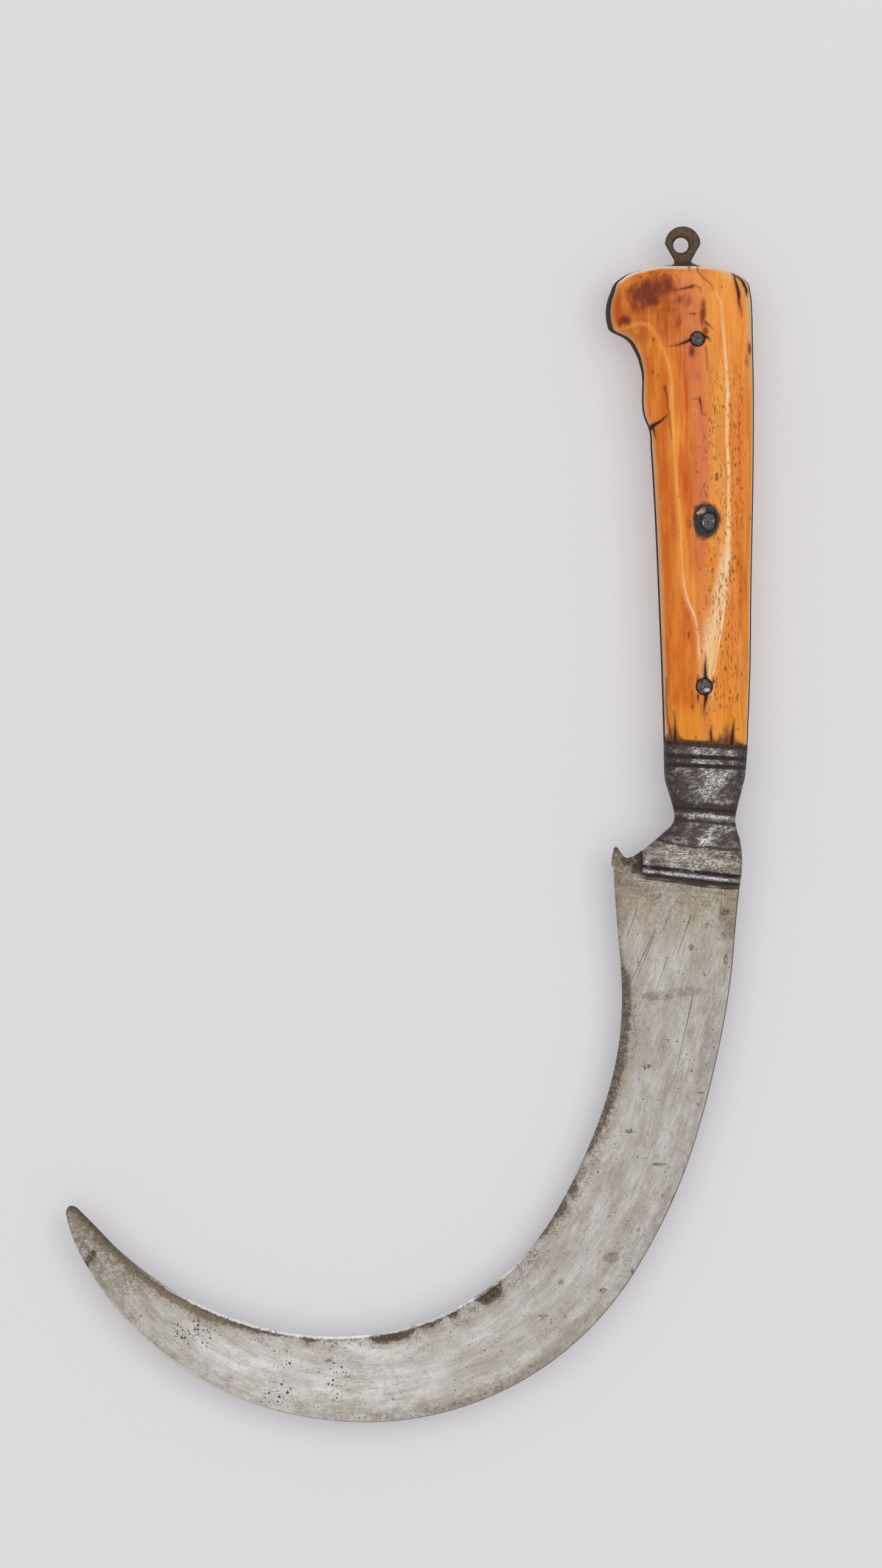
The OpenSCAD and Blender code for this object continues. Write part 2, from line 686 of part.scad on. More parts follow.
module suspension_loop() {
  color(iron)
    translate(seat)
      difference() {
        union() {
          translate([eye.x, eye.y, 0])
            intersection() {
              translate([0, 0, -eye_t / 2])
                linear_extrude(eye_t)
                  polygon(eye_outline);
              eye_disc();
            }
          translate([eye_x + foot_shift, grip_l, 0])
            rotate([-90, 0, 0])
              rotate_extrude()
                polygon(foot_profile);
          translate([eye_x, grip_l, 0])
            rotate([-90, 0, 0])
              cylinder(r = neck_r, h = neck_l + 1);
          translate([eye_x - tongue_w / 2, grip_l - tongue_l, -half_tang + tongue_gap])
            cube([tongue_w, tongue_l + 0.5, tang_t - 2 * tongue_gap]);
        }
        translate([eye.x - eye_offset, eye.y - eye_drop, -beyond])
          cylinder(r = eye_bore_r, h = 2 * beyond);
      }
}

blade();
bolster_front();
bolster_back();
scale_front();
scale_back();
bedding_front();
bedding_back();
rivet_upper();
rivet_middle();
rivet_lower();
rivet_fill();
rivet_wedge();
suspension_loop();
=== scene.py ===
# %% [markdown]
# # A curved knife with an ivory grip
# The knife has a hooked steel blade, an iron bolster in two halves, and two scales of stained ivory
# riveted through the tang. Its exact solids come from the CAD model. This lesson dresses them:
# it builds finer surfaces in the same place, and gives each one a finish made of nodes.
# The first cell loads the solids as a fixed frame, so that everything lands where the CAD says.

# %% The fixed frame
import functools
import math

import bmesh
import bpy
import numpy as np
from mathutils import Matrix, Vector, kdtree


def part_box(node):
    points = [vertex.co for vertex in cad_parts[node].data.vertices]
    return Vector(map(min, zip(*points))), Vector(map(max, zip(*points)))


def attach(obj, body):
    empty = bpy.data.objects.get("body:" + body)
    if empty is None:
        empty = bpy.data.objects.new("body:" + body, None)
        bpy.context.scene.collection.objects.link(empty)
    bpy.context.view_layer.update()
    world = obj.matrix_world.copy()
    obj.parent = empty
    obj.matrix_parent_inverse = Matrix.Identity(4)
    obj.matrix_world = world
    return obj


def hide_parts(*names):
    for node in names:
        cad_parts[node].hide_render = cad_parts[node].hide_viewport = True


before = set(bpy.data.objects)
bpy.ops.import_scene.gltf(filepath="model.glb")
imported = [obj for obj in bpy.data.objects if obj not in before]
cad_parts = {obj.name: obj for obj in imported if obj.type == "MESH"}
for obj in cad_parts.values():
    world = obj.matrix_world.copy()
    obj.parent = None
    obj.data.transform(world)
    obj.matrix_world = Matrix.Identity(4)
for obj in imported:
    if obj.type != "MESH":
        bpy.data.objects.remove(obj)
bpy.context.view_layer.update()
scene = bpy.context.scene
print("solids:", ", ".join(sorted(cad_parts)))

# %% [markdown]
# ## Where the grip begins
# All measurements of the knife are easiest in millimetres from one natural point: the middle of
# the grip's lower end, half way through the tang. The upper rivet sits at (-2.3, 106.2) from
# there, so its solid tells where that point lies in the frame. `place` turns such millimetres
# into the scene's metres, and every piece is made with it.

# %% From millimetres on the grip to metres in the scene
UPPER, MIDDLE, LOWER = (-2.3, 106.2), (0.7, 58.3), (-0.5, 15.1)
low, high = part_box("rivet_upper")
grip_origin = np.array([(low.x + high.x) * 500 - UPPER[0], (low.y + high.y) * 500 - UPPER[1], 7.5])


def place(points):
    """Points in millimetres from the grip's lower end, as metres in the scene."""
    return (np.asarray(points, float) + grip_origin) / 1000


print("grip origin (mm):", np.round(grip_origin, 3))

# %% [markdown]
# ## Camera
# The photograph looks straight down from far away, so the camera hangs 2.5 m above the floor with
# a long lens. A long lens keeps the thick grip from leaning outwards. The lens is worked out from
# the height of the frame, 412 mm at the knife, and the sensor's 36 mm.

# %% The camera over the knife
FRAME_HEIGHT = 0.41216
SENSOR = 36
CAMERA_X, CAMERA_Y, CAMERA_HEIGHT = 0.00819, 0.010587, 2.5
KNIFE_HEIGHT = 0.0075
camera_data = bpy.data.cameras.new("overhead_camera")
camera_data.lens = SENSOR * (CAMERA_HEIGHT - KNIFE_HEIGHT) / FRAME_HEIGHT
camera_data.clip_end = 20
camera = bpy.data.objects.new("overhead_camera", camera_data)
camera.location = (CAMERA_X, CAMERA_Y, CAMERA_HEIGHT)
scene.collection.objects.link(camera)
scene.camera = camera
print(f"lens {camera_data.lens:.1f} mm")

# %% [markdown]
# ## Small tools for nodes
# A finish is a tree of nodes. A few short helpers keep the trees readable. `Desk.tree` is the tree
# being built. `add` puts a node into it and gives the node's first output as a `Flow`, and square
# brackets pick another output. A flow is written into sums like a number, and every sum becomes
# one more node, so a line of code reads like the formula that it builds.

# %% Helpers that build node trees
class Desk:
    """Holds the tree that new nodes go into."""
    tree = None


class Flow:
    """What one output of a node sends on to others."""

    def __init__(self, socket):
        self.socket = socket

    def __getitem__(self, name):
        return Flow(self.socket.node.outputs[name])

    def __abs__(self):
        return maths("ABSOLUTE", self)


def add(kind, inputs=None, **settings):
    """A new node with its settings, and its inputs set or linked by name or number."""
    node = Desk.tree.nodes.new(kind)
    for key, value in settings.items():
        setattr(node, key, value)
    for key, value in (inputs or {}).items():
        feed(value, node.inputs[key])
    return Flow(node.outputs[0]) if node.outputs else None


def feed(value, socket):
    """Links a flow to a socket, or sets a plain value on it."""
    if isinstance(value, Flow):
        Desk.tree.links.new(value.socket, socket)
    else:
        socket.default_value = value


def maths(operation, *values, clamp=False):
    """The result of one sum with numbers."""
    return add("ShaderNodeMath", dict(enumerate(values)), operation=operation, use_clamp=clamp)


def vector(operation, *values):
    """The result of one sum with vectors."""
    made = add("ShaderNodeVectorMath", dict(enumerate(values)), operation=operation)
    return made["Value" if operation in ("LENGTH", "DOT_PRODUCT") else "Vector"]


def summed(operation, *values):
    """One sum, with vectors as soon as one side is a vector."""
    kinds = [value.socket.type if isinstance(value, Flow) else type(value) for value in values]
    return (vector if "VECTOR" in kinds or tuple in kinds else maths)(operation, *values)


# a + b, a * b, a < b and so on each make one node
SIGNS = {"add": "ADD", "sub": "SUBTRACT", "mul": "MULTIPLY", "truediv": "DIVIDE", "pow": "POWER",
         "lt": "LESS_THAN", "gt": "GREATER_THAN"}
for sign, operation in SIGNS.items():
    setattr(Flow, f"__{sign}__", lambda self, other, name=operation: summed(name, self, other))
    setattr(Flow, f"__r{sign}__", lambda self, other, name=operation: summed(name, other, self))


print("signs that make nodes:", ", ".join(SIGNS))

# %% [markdown]
# ## Masks and colours
# A mask is a flow between 0 and 1 that says where something shows. `spread` makes one from any
# value, with a soft border. A `Coat` is the colour of a finish so far: each `lay` puts one more
# colour over it where a mask is strong.

# %% Helpers for masks and colours
def noise(spot, scale, detail, roughness=0.5):
    """Cloudy noise about 0.5, in as many layers as detail says."""
    return add("ShaderNodeTexNoise", {"Vector": spot, "Scale": scale, "Detail": detail,
                                      "Roughness": roughness})


def combined(*values):
    """A vector from one, two or three numbers."""
    return add("ShaderNodeCombineXYZ", dict(enumerate(values)))


def axis(spot, name):
    """One number of a vector: X, Y or Z."""
    return add("ShaderNodeSeparateXYZ", {0: spot})[name]


def rotated(spot, degrees):
    """A spot turned about the upright axis."""
    return add("ShaderNodeMapping", {"Vector": spot, "Rotation": (0, 0, math.radians(degrees))})


def strongest(*masks):
    """The largest of several masks."""
    return functools.reduce(functools.partial(maths, "MAXIMUM"), masks)


def weakest(*masks):
    """The smallest of several masks."""
    return functools.reduce(functools.partial(maths, "MINIMUM"), masks)


def mixed(share, a, b):
    """Colour a turning into colour b as the share goes from 0 to 1."""
    return add("ShaderNodeMix", {0: share, 6: a, 7: b}, data_type="RGBA")[2]


def spread(value, start, end, low=0.0, high=1.0):
    """A value between start and end, mapped softly to between low and high."""
    inputs = {"Value": value, "From Min": start, "From Max": end, "To Min": low, "To Max": high}
    return add("ShaderNodeMapRange", inputs, interpolation_type="SMOOTHSTEP")


class Coat:
    """The colour of a finish, over which other colours are laid one by one."""

    def __init__(self, colour):
        self.colour = colour

    def mix(self, share, other):
        """Lets another colour in by its share."""
        self.colour = mixed(share, self.colour, other)

    def lay(self, mask, amount, *red_green_blue):
        """Lays a colour on where the mask is, by that amount."""
        self.mix(mask * amount, srgb(*red_green_blue))


def srgb(red, green, blue):
    """A colour as a paint program names it, turned into the light values that Blender mixes."""
    shares = [v / 255 for v in (red, green, blue)]
    return [v / 12.92 if v <= 0.04045 else ((v + 0.055) / 1.055) ** 2.4 for v in shares] + [1.0]


print("ivory orange in light values:", [round(v, 3) for v in srgb(219, 128, 52)[:3]])

# %% [markdown]
# ## Light and floor
# The knife lies on pale matte paper in a soft studio light. Most of the light comes from a bright
# patch of sky straight above, as from a big diffuser: a flat polished blade mirrors it, and the
# paper shows hardly any shadow. Towards the horizon the sky falls away, which darkens the flanks
# of round metal. A wide soft lamp from the right gives the faint shadow on the grip's left.

# %% Sky, lamp and floor
scene.view_settings.view_transform = "Standard"
world = bpy.data.worlds.new("studio")
scene.world = world
world.use_nodes = True
Desk.tree = world.node_tree
Desk.tree.nodes.clear()
up = axis(add("ShaderNodeTexCoord")["Generated"], "Z")
glow = spread(up, 0.3, 0.96, 0.42, 1.18)
backdrop = add("ShaderNodeBackground", {"Color": (1.0, 0.985, 0.985, 1.0), "Strength": glow})
add("ShaderNodeOutputWorld", {0: backdrop})


def soft_lamp(name, at, aim, size, watts):
    """A square lamp that shines from one place towards another."""
    data = bpy.data.lights.new(name, "AREA")
    data.size = size
    data.energy = watts
    lamp = bpy.data.objects.new(name, data)
    lamp.location = at
    lamp.rotation_euler = (Vector(aim) - Vector(at)).to_track_quat("-Z", "Y").to_euler()
    scene.collection.objects.link(lamp)


soft_lamp("right_lamp", (1.0, 0.5, 1.5), (0, 0, 0), size=1.2, watts=4)
floor_mesh = bpy.data.meshes.new("paper_floor")
corners = [(-3, -3, 0), (3, -3, 0), (3, 3, 0), (-3, 3, 0)]
floor_mesh.from_pydata(corners, [], [(0, 1, 2, 3)])
floor = bpy.data.objects.new("paper_floor", floor_mesh)
scene.collection.objects.link(floor)


def new_finish(name, roughness=0.5, metallic=0.0):
    """A material on the desk, its principled shader, and millimetres from the grip's origin."""
    material = bpy.data.materials.new(name)
    material.use_nodes = True
    Desk.tree = material.node_tree
    shader = Desk.tree.nodes["Principled BSDF"]
    shader.inputs["Roughness"].default_value = roughness
    shader.inputs["Metallic"].default_value = metallic
    spot = add("ShaderNodeMapping", {"Vector": add("ShaderNodeTexCoord")["Object"],
                                     "Location": tuple(-grip_origin), "Scale": (1000,) * 3})
    return material, shader, spot


paper, shader, spot = new_finish("pale_paper", 0.9)
fibre = noise(spot, 0.9, 6.0, 0.7)
feed(mixed(fibre, srgb(191, 190, 193), srgb(196, 195, 198)), shader.inputs["Base Color"])
feed(srgb(219, 217, 220), shader.inputs["Emission Color"])
feed(0.3, shader.inputs["Emission Strength"])
paper_relief = add("ShaderNodeBump", {"Height": fibre, "Strength": 0.12, "Distance": 0.0004})
feed(paper_relief, shader.inputs["Normal"])
floor_mesh.materials.append(paper)
print("floor and lamp ready")

# %% [markdown]
# ## Smooth curves from a few knots
# The knife's outline is given by a few measured knots, and a smooth curve runs through them. This
# is the same rule as in the CAD source, so both outlines agree. `ease` is the soft step from
# 0 to 1, `bump_at` one rounded ridge, and `grain` a seeded noise for small irregularities.

# %% Curves, steps and noise
def smooth(knots, at):
    """Value at a place of the smooth curve through knots of (place, value)."""
    x, v = np.array(knots, float).T
    span = np.diff(x)
    rise = np.diff(v) / span
    slope = np.empty(len(x))
    slope[0], slope[-1] = rise[0], rise[-1]
    slope[1:-1] = (span[:-1] * rise[1:] + span[1:] * rise[:-1]) / (span[:-1] + span[1:])
    at = np.clip(at, x[0], x[-1])
    i = np.clip(np.searchsorted(x, at, side="right") - 1, 0, len(x) - 2)
    u = (at - x[i]) / span[i]
    held = v[i] * (2 * u**3 - 3 * u**2 + 1) + v[i + 1] * (3 * u**2 - 2 * u**3)
    return held + span[i] * (slope[i] * (u**3 - 2 * u**2 + u) + slope[i + 1] * (u**3 - u**2))


def straight(knots, at):
    """Value at a place of the straight pieces through knots."""
    x, v = np.array(knots, float).T
    return np.interp(at, x, v)


def ease(u):
    """The soft step from 0 to 1."""
    u = np.clip(u, 0, 1)
    return u * u * (3 - 2 * u)


def bump_at(at, middle, half):
    """A rounded ridge: 1 at its middle, and 0 from half its width on."""
    return np.where(np.abs(at - middle) < half, np.cos(np.pi / 2 * (at - middle) / half) ** 2, 0.0)


def grain(x, y, size, seed):
    """Soft noise between -1 and 1, with blotches of that size in millimetres."""
    lattice = np.random.default_rng(seed).uniform(-1, 1, (61, 61))
    p, q = np.asarray(x) / size, np.asarray(y) / size
    i, j = np.floor(p).astype(int), np.floor(q).astype(int)
    u, v = p - i, q - j
    u, v = u * u * (3 - 2 * u), v * v * (3 - 2 * v)
    a, b = lattice[i % 61, j % 61], lattice[(i + 1) % 61, j % 61]
    c, d = lattice[i % 61, (j + 1) % 61], lattice[(i + 1) % 61, (j + 1) % 61]
    return (a * (1 - u) + b * u) * (1 - v) + (c * (1 - u) + d * u) * v


print("noise sample:", round(float(grain(3.3, 7.1, 2.0, 1)), 3))

# %% [markdown]
# ## Closed skins
# Most pieces are lofts: rings of points set one after another and joined by quads. `evened`
# spaces a ring's points evenly along its line, so no part of the skin is coarse. `skin` closes
# both ends, turns all faces outwards and marks real corners as sharp. Values that a finish needs,
# such as the depth of a stain, are stored on the points as attributes.

# %% Lofts and attributes
def evened(line, count):
    """The same line with that many points, evenly spaced along it."""
    steps = np.linalg.norm(np.diff(line, axis=0), axis=1)
    walked = np.concatenate([[0], np.cumsum(steps)])
    at = np.linspace(0, walked[-1], count)
    return np.stack([np.interp(at, walked, line[:, k]) for k in range(line.shape[1])], axis=1)


def finish_mesh(mesh, sharp_over=40):
    """Closed, outward, smooth skin with its sharp corners kept."""
    shape = bmesh.new()
    shape.from_mesh(mesh)
    bmesh.ops.remove_doubles(shape, verts=shape.verts, dist=1e-7)
    bmesh.ops.dissolve_degenerate(shape, edges=shape.edges, dist=1e-8)
    bmesh.ops.recalc_face_normals(shape, faces=shape.faces)
    open_edges = sum(1 for e in shape.edges if not e.is_manifold)
    shape.to_mesh(mesh)
    shape.free()
    mesh.shade_smooth()
    mesh.set_sharp_from_angle(angle=math.radians(sharp_over))
    return open_edges


def skin(name, rings, capped=True):
    """An object whose closed skin runs over rings of points in millimetres."""
    rings = np.asarray(rings, float)
    count, around = rings.shape[:2]
    index = np.arange(count * around).reshape(count, around)
    beside = np.roll(index, -1, axis=1)
    quads = np.stack([index[:-1], beside[:-1], beside[1:], index[1:]], axis=-1).reshape(-1, 4)
    mesh = bpy.data.meshes.new(name)
    faces = quads.tolist() + ([index[0].tolist(), index[-1].tolist()] if capped else [])
    mesh.from_pydata(place(rings.reshape(-1, 3)).tolist(), [], faces)
    open_edges = finish_mesh(mesh)
    piece = bpy.data.objects.new(name, mesh)
    scene.collection.objects.link(piece)
    print(f"{name}: {len(mesh.polygons)} faces, {open_edges} open edges")
    return piece


def points_of(piece):
    """The piece's points, in millimetres from the grip's origin."""
    flat = np.empty(len(piece.data.vertices) * 3, np.float32)
    piece.data.vertices.foreach_get("co", flat)
    return flat.reshape(-1, 3).astype(float) * 1000 - grip_origin


def move_points(piece, points):
    """Sets the piece's points, given in the same millimetres."""
    piece.data.vertices.foreach_set("co", place(points).astype(np.float32).ravel())
    piece.data.update()


def store(piece, name, values):
    """One number for each point, which a finish reads by its name."""
    layer = piece.data.attributes.new(name, "FLOAT", "POINT")
    layer.data.foreach_set("value", np.asarray(values, np.float32))


# %% [markdown]
# ## The blade's middle line
# A smith bends the bar in a few steady sweeps, so the middle of the blade is a chain of arcs that
# run into each other. The chain starts at the bolster, nearly straight, and turns most in the
# belly. At each of several hundred steps it gives a place, a direction and the blade's width.

# %% Middle line of the blade
LENGTHS = (18.8, 82.9, 73.0, 94.82)
BENDS = (1 / 346, -1 / 147.3, -1 / 74.3, -1 / 83.4)
BLADE_LENGTH = sum(LENGTHS)
BASE_Y, BASE_TILT = -36.1, 6.4
START_X, START_ABOVE, START_HEADING = -7.4, 1.7, math.radians(-92.3)
TIP_ROUND = 1.6
SLIMMER = 0.999
TIP_ANGLES = (5, 15, 25, 35, 45, 55, 65, 74, 82, 90)
WIDTHS = ((0, 33.6), (0.07, 30.4), (0.17, 26.2), (0.32, 26), (0.5, 25.5), (0.68, 22.1),
          (0.84, 16), (0.94, 9.2), (0.974, 6.4), (0.9885, 4.416), (1, 2.624))


def middle_line(s):
    """Place and direction of the blade's middle, s millimetres from the bolster."""
    x, y = START_X, BASE_Y - START_X * math.tan(math.radians(BASE_TILT)) + START_ABOVE
    heading = START_HEADING
    for length, bend in zip(LENGTHS, BENDS):
        step = s if length == LENGTHS[-1] else min(s, length)
        turned = heading + bend * step
        x += (math.sin(turned) - math.sin(heading)) / bend
        y += (math.cos(heading) - math.cos(turned)) / bend
        heading = turned
        s -= step
        if s <= 0:
            break
    return x, y, heading


def blade_width(s):
    """Width of the blade at s, rounded off at the point."""
    closing = math.sqrt(max(0.0, 1 - min(max((s - BLADE_LENGTH + TIP_ROUND) / TIP_ROUND, 0), 1) ** 2))
    return float(smooth(WIDTHS, s / BLADE_LENGTH)) * closing * SLIMMER


tip_start = BLADE_LENGTH - TIP_ROUND
steps = [-0.6, *np.linspace(-0.6, tip_start - 0.1, 520)]
steps += [tip_start + TIP_ROUND * math.sin(math.radians(a)) for a in TIP_ANGLES]
spots = [middle_line(s) for s in steps]
line_mesh = bpy.data.meshes.new("blade_line")
line_mesh.from_pydata(place([(x, y, 0) for x, y, h in spots]).tolist(), [], [])
blade_piece = bpy.data.objects.new("blade_steel", line_mesh)
scene.collection.objects.link(blade_piece)
store(blade_piece, "along", steps)
store(blade_piece, "heading", [h for x, y, h in spots])
store(blade_piece, "width", [blade_width(s) for s in steps])
print(f"blade {BLADE_LENGTH:.1f} mm long, {len(steps)} steps, tip at", np.round(spots[-1][:2], 1))

# %% [markdown]
# ## The blade from a rule
# A ground blade has one rule for its whole length: a thick rounded back, faces that fall towards
# the edge, and a narrow sharpened bevel. That suits Geometry Nodes. The tree makes a grid, reads
# the middle line's values for each row, and sets each column at its share of the width and at the
# height that the rule gives. The heel is blunt, so the rule eases from a plain bar into an edge.

# %% A geometry tree that grinds the blade
def new_rule(name, sizes):
    """A geometry tree on the desk with an input for every size; gives it and what goes in."""
    tree = Desk.tree = bpy.data.node_groups.new(name, "GeometryNodeTree")
    face = tree.interface
    face.new_socket("Geometry", in_out="INPUT", socket_type="NodeSocketGeometry")
    for label, value in sizes.items():
        kind = "NodeSocketInt" if isinstance(value, int) else "NodeSocketFloat"
        face.new_socket(label, in_out="INPUT", socket_type=kind).default_value = value
    face.new_socket("Material", in_out="INPUT", socket_type="NodeSocketMaterial")
    face.new_socket("Geometry", in_out="OUTPUT", socket_type="NodeSocketGeometry")
    return tree, add("NodeGroupInput")


blade_tree, given = new_rule("ground_blade", {
    "Points across": 46, "Root thickness": 3.3, "Point thickness": 1.7, "Heel length": 36.0,
    "Bevel width": 1.3, "Bevel thickness": 1.1, "Edge thickness": 0.16, "Back round": 0.5,
    "Belly": 0.2, "Edge wear": 0.16, "Seed": 7})


def of_line(name, row):
    """The middle line's value of that name, for each row of the grid."""
    value = add("GeometryNodeInputNamedAttribute", {"Name": name}, data_type="FLOAT")["Attribute"]
    return add("GeometryNodeSampleIndex",
               {"Geometry": given["Geometry"], "Value": value, "Index": row}, data_type="FLOAT")


rows = add("GeometryNodeAttributeDomainSize", {0: given["Geometry"]})["Point Count"]
last = given["Points across"] * 2 + 1
columns = last + 2
grid = add("GeometryNodeMeshGrid",
           {"Size X": 1.0, "Size Y": 1.0, "Vertices X": rows, "Vertices Y": columns})
index = add("GeometryNodeInputIndex")
row = maths("FLOOR", (index + 0.5) / columns)
column = index - row * columns
column = column - (column > last + 0.5) * (last + 1)
below = column > given["Points across"] + 0.5
count = (1 - below) * column + below * (last - column)
even = count / given["Points across"]
crowded = 0.5 - maths("COSINE", even * math.pi) * 0.5
share = even * 0.5 + crowded * 0.5

along, width, heading = of_line("along", row), of_line("width", row), of_line("heading", row)
noise_at = combined(along * 0.16, given["Seed"])
wear = noise(noise_at, 1.0, 4.0, 0.65)
wear = wear * given["Edge wear"] * weakest(width / 9, 1)
whole = width - wear
from_back = share * whole

to_point = along / BLADE_LENGTH
thick = (given["Root thickness"] * (1 - to_point) + given["Point thickness"] * to_point) / 2
keen = spread(along / given["Heel length"], 0, 1)
blunt = 1 - keen
bevel_in = weakest(given["Bevel width"], width / 4)
shoulder = blunt * thick + keen * weakest(thick, given["Bevel thickness"] / 2)
lip = blunt * (thick - given["Back round"] / 2) + keen * (given["Edge thickness"] / 2)
to_edge = whole - from_back
face_width = strongest(whole - bevel_in - given["Back round"], 0.01)
across = maths("DIVIDE", from_back - given["Back round"], face_width, clamp=True)
swell = given["Belly"] * (thick - shoulder) * (across * (1 - across))
face_height = thick + (shoulder - thick) * across + swell
on_bevel = maths("DIVIDE", to_edge, strongest(bevel_in, 0.001), clamp=True)
bevel_height = lip + (shoulder - lip) * on_bevel
is_bevel = to_edge < bevel_in
height = is_bevel * bevel_height + (1 - is_bevel) * face_height
past_round = 1 - maths("DIVIDE", from_back, given["Back round"], clamp=True)
rounding = 1 - maths("SQRT", maths("SUBTRACT", 1, past_round * past_round, clamp=True))
height = height - rounding * (given["Back round"] * 0.7)
height = height * weakest(width / 3.9, 1) * (row > 0.5) * (1 - below * 2)

line_at = add("GeometryNodeSampleIndex",
              {"Geometry": given["Geometry"], "Index": row,
               "Value": add("GeometryNodeInputPosition")}, data_type="FLOAT_VECTOR")
off = width / 2 - from_back
shift = combined(maths("SINE", heading) * off * -0.001, maths("COSINE", heading) * off * 0.001,
                 height * 0.001)
there = line_at + shift
shaped = add("GeometryNodeSetPosition", {"Geometry": grid["Mesh"], "Position": there})
for label, value in {"along": along, "from_back": from_back, "to_edge": to_edge}.items():
    kept = {"Geometry": shaped, "Name": label, "Value": value}
    shaped = add("GeometryNodeStoreNamedAttribute", kept, data_type="FLOAT", domain="POINT")
joined = add("GeometryNodeMergeByDistance", {"Geometry": shaped, "Distance": 4e-06})
real = add("GeometryNodeRealizeInstances", {"Geometry": joined})
dressed = add("GeometryNodeSetMaterial", {"Geometry": real, "Material": given["Material"]})
add("NodeGroupOutput", {0: dressed})


def settle(piece, tree, finish):
    """Runs a geometry tree on a piece and keeps the result as a plain mesh."""
    modifier = piece.modifiers.new(tree.name, "NODES")
    modifier.node_group = tree
    for item in tree.interface.items_tree:
        if item.name == "Material":
            modifier[item.identifier] = finish
    view = bpy.context.evaluated_depsgraph_get()
    shaped = piece.evaluated_get(view)
    result = bpy.data.meshes.new_from_object(shaped, preserve_all_data_layers=True, depsgraph=view)
    piece.modifiers.clear()
    piece.data = result
    open_edges = finish_mesh(result, 30)
    print(f"{piece.name}: {len(result.polygons)} faces, {open_edges} open edges")


# %% [markdown]
# ## Effects that several finishes share
# Old metal, ivory and lac show the same few things: patches with ragged borders, small pits,
# long fine streaks, thread-like worm tracks of rust, and single marks in known places. Each is
# built once as a group with named inputs, and each finish uses it with its own values. A group
# gives out a mask between 0 and 1.

# %% Groups for patches, pits, streaks, worm tracks and single marks
def new_effect(name, **inputs):
    """A group of shader nodes on the desk: how a finish uses it, and what goes into it."""
    group = Desk.tree = bpy.data.node_groups.new(name, "ShaderNodeTree")
    for label, value in inputs.items():
        kind = "NodeSocketVector" if isinstance(value, tuple) else "NodeSocketFloat"
        group.interface.new_socket(label, in_out="INPUT", socket_type=kind).default_value = value
    group.interface.new_socket("Mask", in_out="OUTPUT", socket_type="NodeSocketFloat")

    def use(spot, **chosen):
        """The effect's mask at a spot, with its other inputs set by name."""
        return add("ShaderNodeGroup", {"Vector": spot, **chosen}, node_tree=group)

    return use, add("NodeGroupInput")


def give_out(mask):
    """Ends a group with its mask."""
    add("NodeGroupOutput", {0: mask})


NONE_ABOVE, ALL_ABOVE = 0.72, 0.28


def level_for(cover):
    """The noise level above which lies that share of the surface."""
    return NONE_ABOVE - cover * (NONE_ABOVE - ALL_ABOVE)


def above_level(clouds, given):
    """Where cloudy noise lies above its level, with a soft border."""
    level = level_for(given["Cover"])
    return spread(clouds, level - given["Softness"], level + given["Softness"])


patches, given = new_effect("patches", Vector=(0, 0, 0), Size=4.0, Cover=0.5, Softness=0.06,
                            Roughness=0.65)
cloud = noise(given["Vector"], 1 / given["Size"], 7.0, given["Roughness"])
give_out(above_level(cloud, given))

pits, given = new_effect("pits", Vector=(0, 0, 0), Spacing=1.5, Share=0.3, Radius=0.3)
cells = add("ShaderNodeTexVoronoi", {"Vector": given["Vector"], "Scale": 1 / given["Spacing"]})
lot = add("ShaderNodeSeparateColor", {0: cells["Color"]})
chosen = lot[0] < given["Share"]
reach = given["Radius"] * (lot[1] * 0.75 + 0.25)
give_out(spread(cells["Distance"], reach, reach * 0.45) * chosen)

streaks, given = new_effect("streaks", Vector=(0, 0, 0), Scale=(1, 1, 1), Cover=0.5, Softness=0.15)
drawn = given["Vector"] * given["Scale"]
lines = noise(drawn, 1.0, 4.0, 0.6)
give_out(above_level(lines, given))

worms, given = new_effect("worm_tracks", Vector=(0, 0, 0), Size=1.8, Width=0.02, Cover=0.4)
curl = noise(given["Vector"], 1 / given["Size"], 2.0, 0.6)
track = spread(abs(curl - 0.5), given["Width"], given["Width"] * 0.3)
crowding = noise(given["Vector"] + (31.0, 17.0, 5.0), 0.8 / given["Size"], 3.0)
level = level_for(given["Cover"])
give_out(track * spread(crowding, level, level + 0.04))

mark, given = new_effect("single_mark", Vector=(0, 0, 0), Centre=(0, 0, 0), Reach=(1, 1, 1),
                         Ragged=0.5, Grit=1.0)
gap = vector("LENGTH", (given["Vector"] - given["Centre"]) / given["Reach"])
grit = noise(given["Vector"], given["Grit"], 5.0, 0.7)
give_out(spread(gap + (grit - 0.5) * (given["Ragged"] * 4), 1.1, 0.6))

scratch, given = new_effect("single_scratch", Vector=(0, 0, 0), From=(0, 0, 0), To=(1, 0, 0),
                            Width=0.2)
run = given["To"] - given["From"]
here = given["Vector"] - given["From"]
part = maths("DIVIDE", vector("DOT_PRODUCT", here, run), vector("DOT_PRODUCT", run, run), clamp=True)
along_run = add("ShaderNodeVectorMath", {0: run, "Scale": part}, operation="SCALE")
width = given["Width"] * (1 - part * 0.7)
give_out(spread(vector("LENGTH", here - along_run), width, width * 0.3))
print("effects:", ", ".join(group.name for group in bpy.data.node_groups if group.type == "SHADER"))

# %% [markdown]
# ## From values to a finish
# These last helpers join what a finish needs: several marks in one mask, values that were stored
# on the points, a level that changes along the knife, and the shader that takes the results.

# %% Helpers between masks and shaders
def marks(spot, places, ragged=0.3, grit=0.5):
    """Single marks in places of (x, y, half width, half height, how ragged), as one mask."""
    return strongest(*[mark(spot, Centre=(x, y, 0), Reach=(wide, high, 9), Grit=grit,
                            Ragged=own[0] if own else ragged) for x, y, wide, high, *own in places])


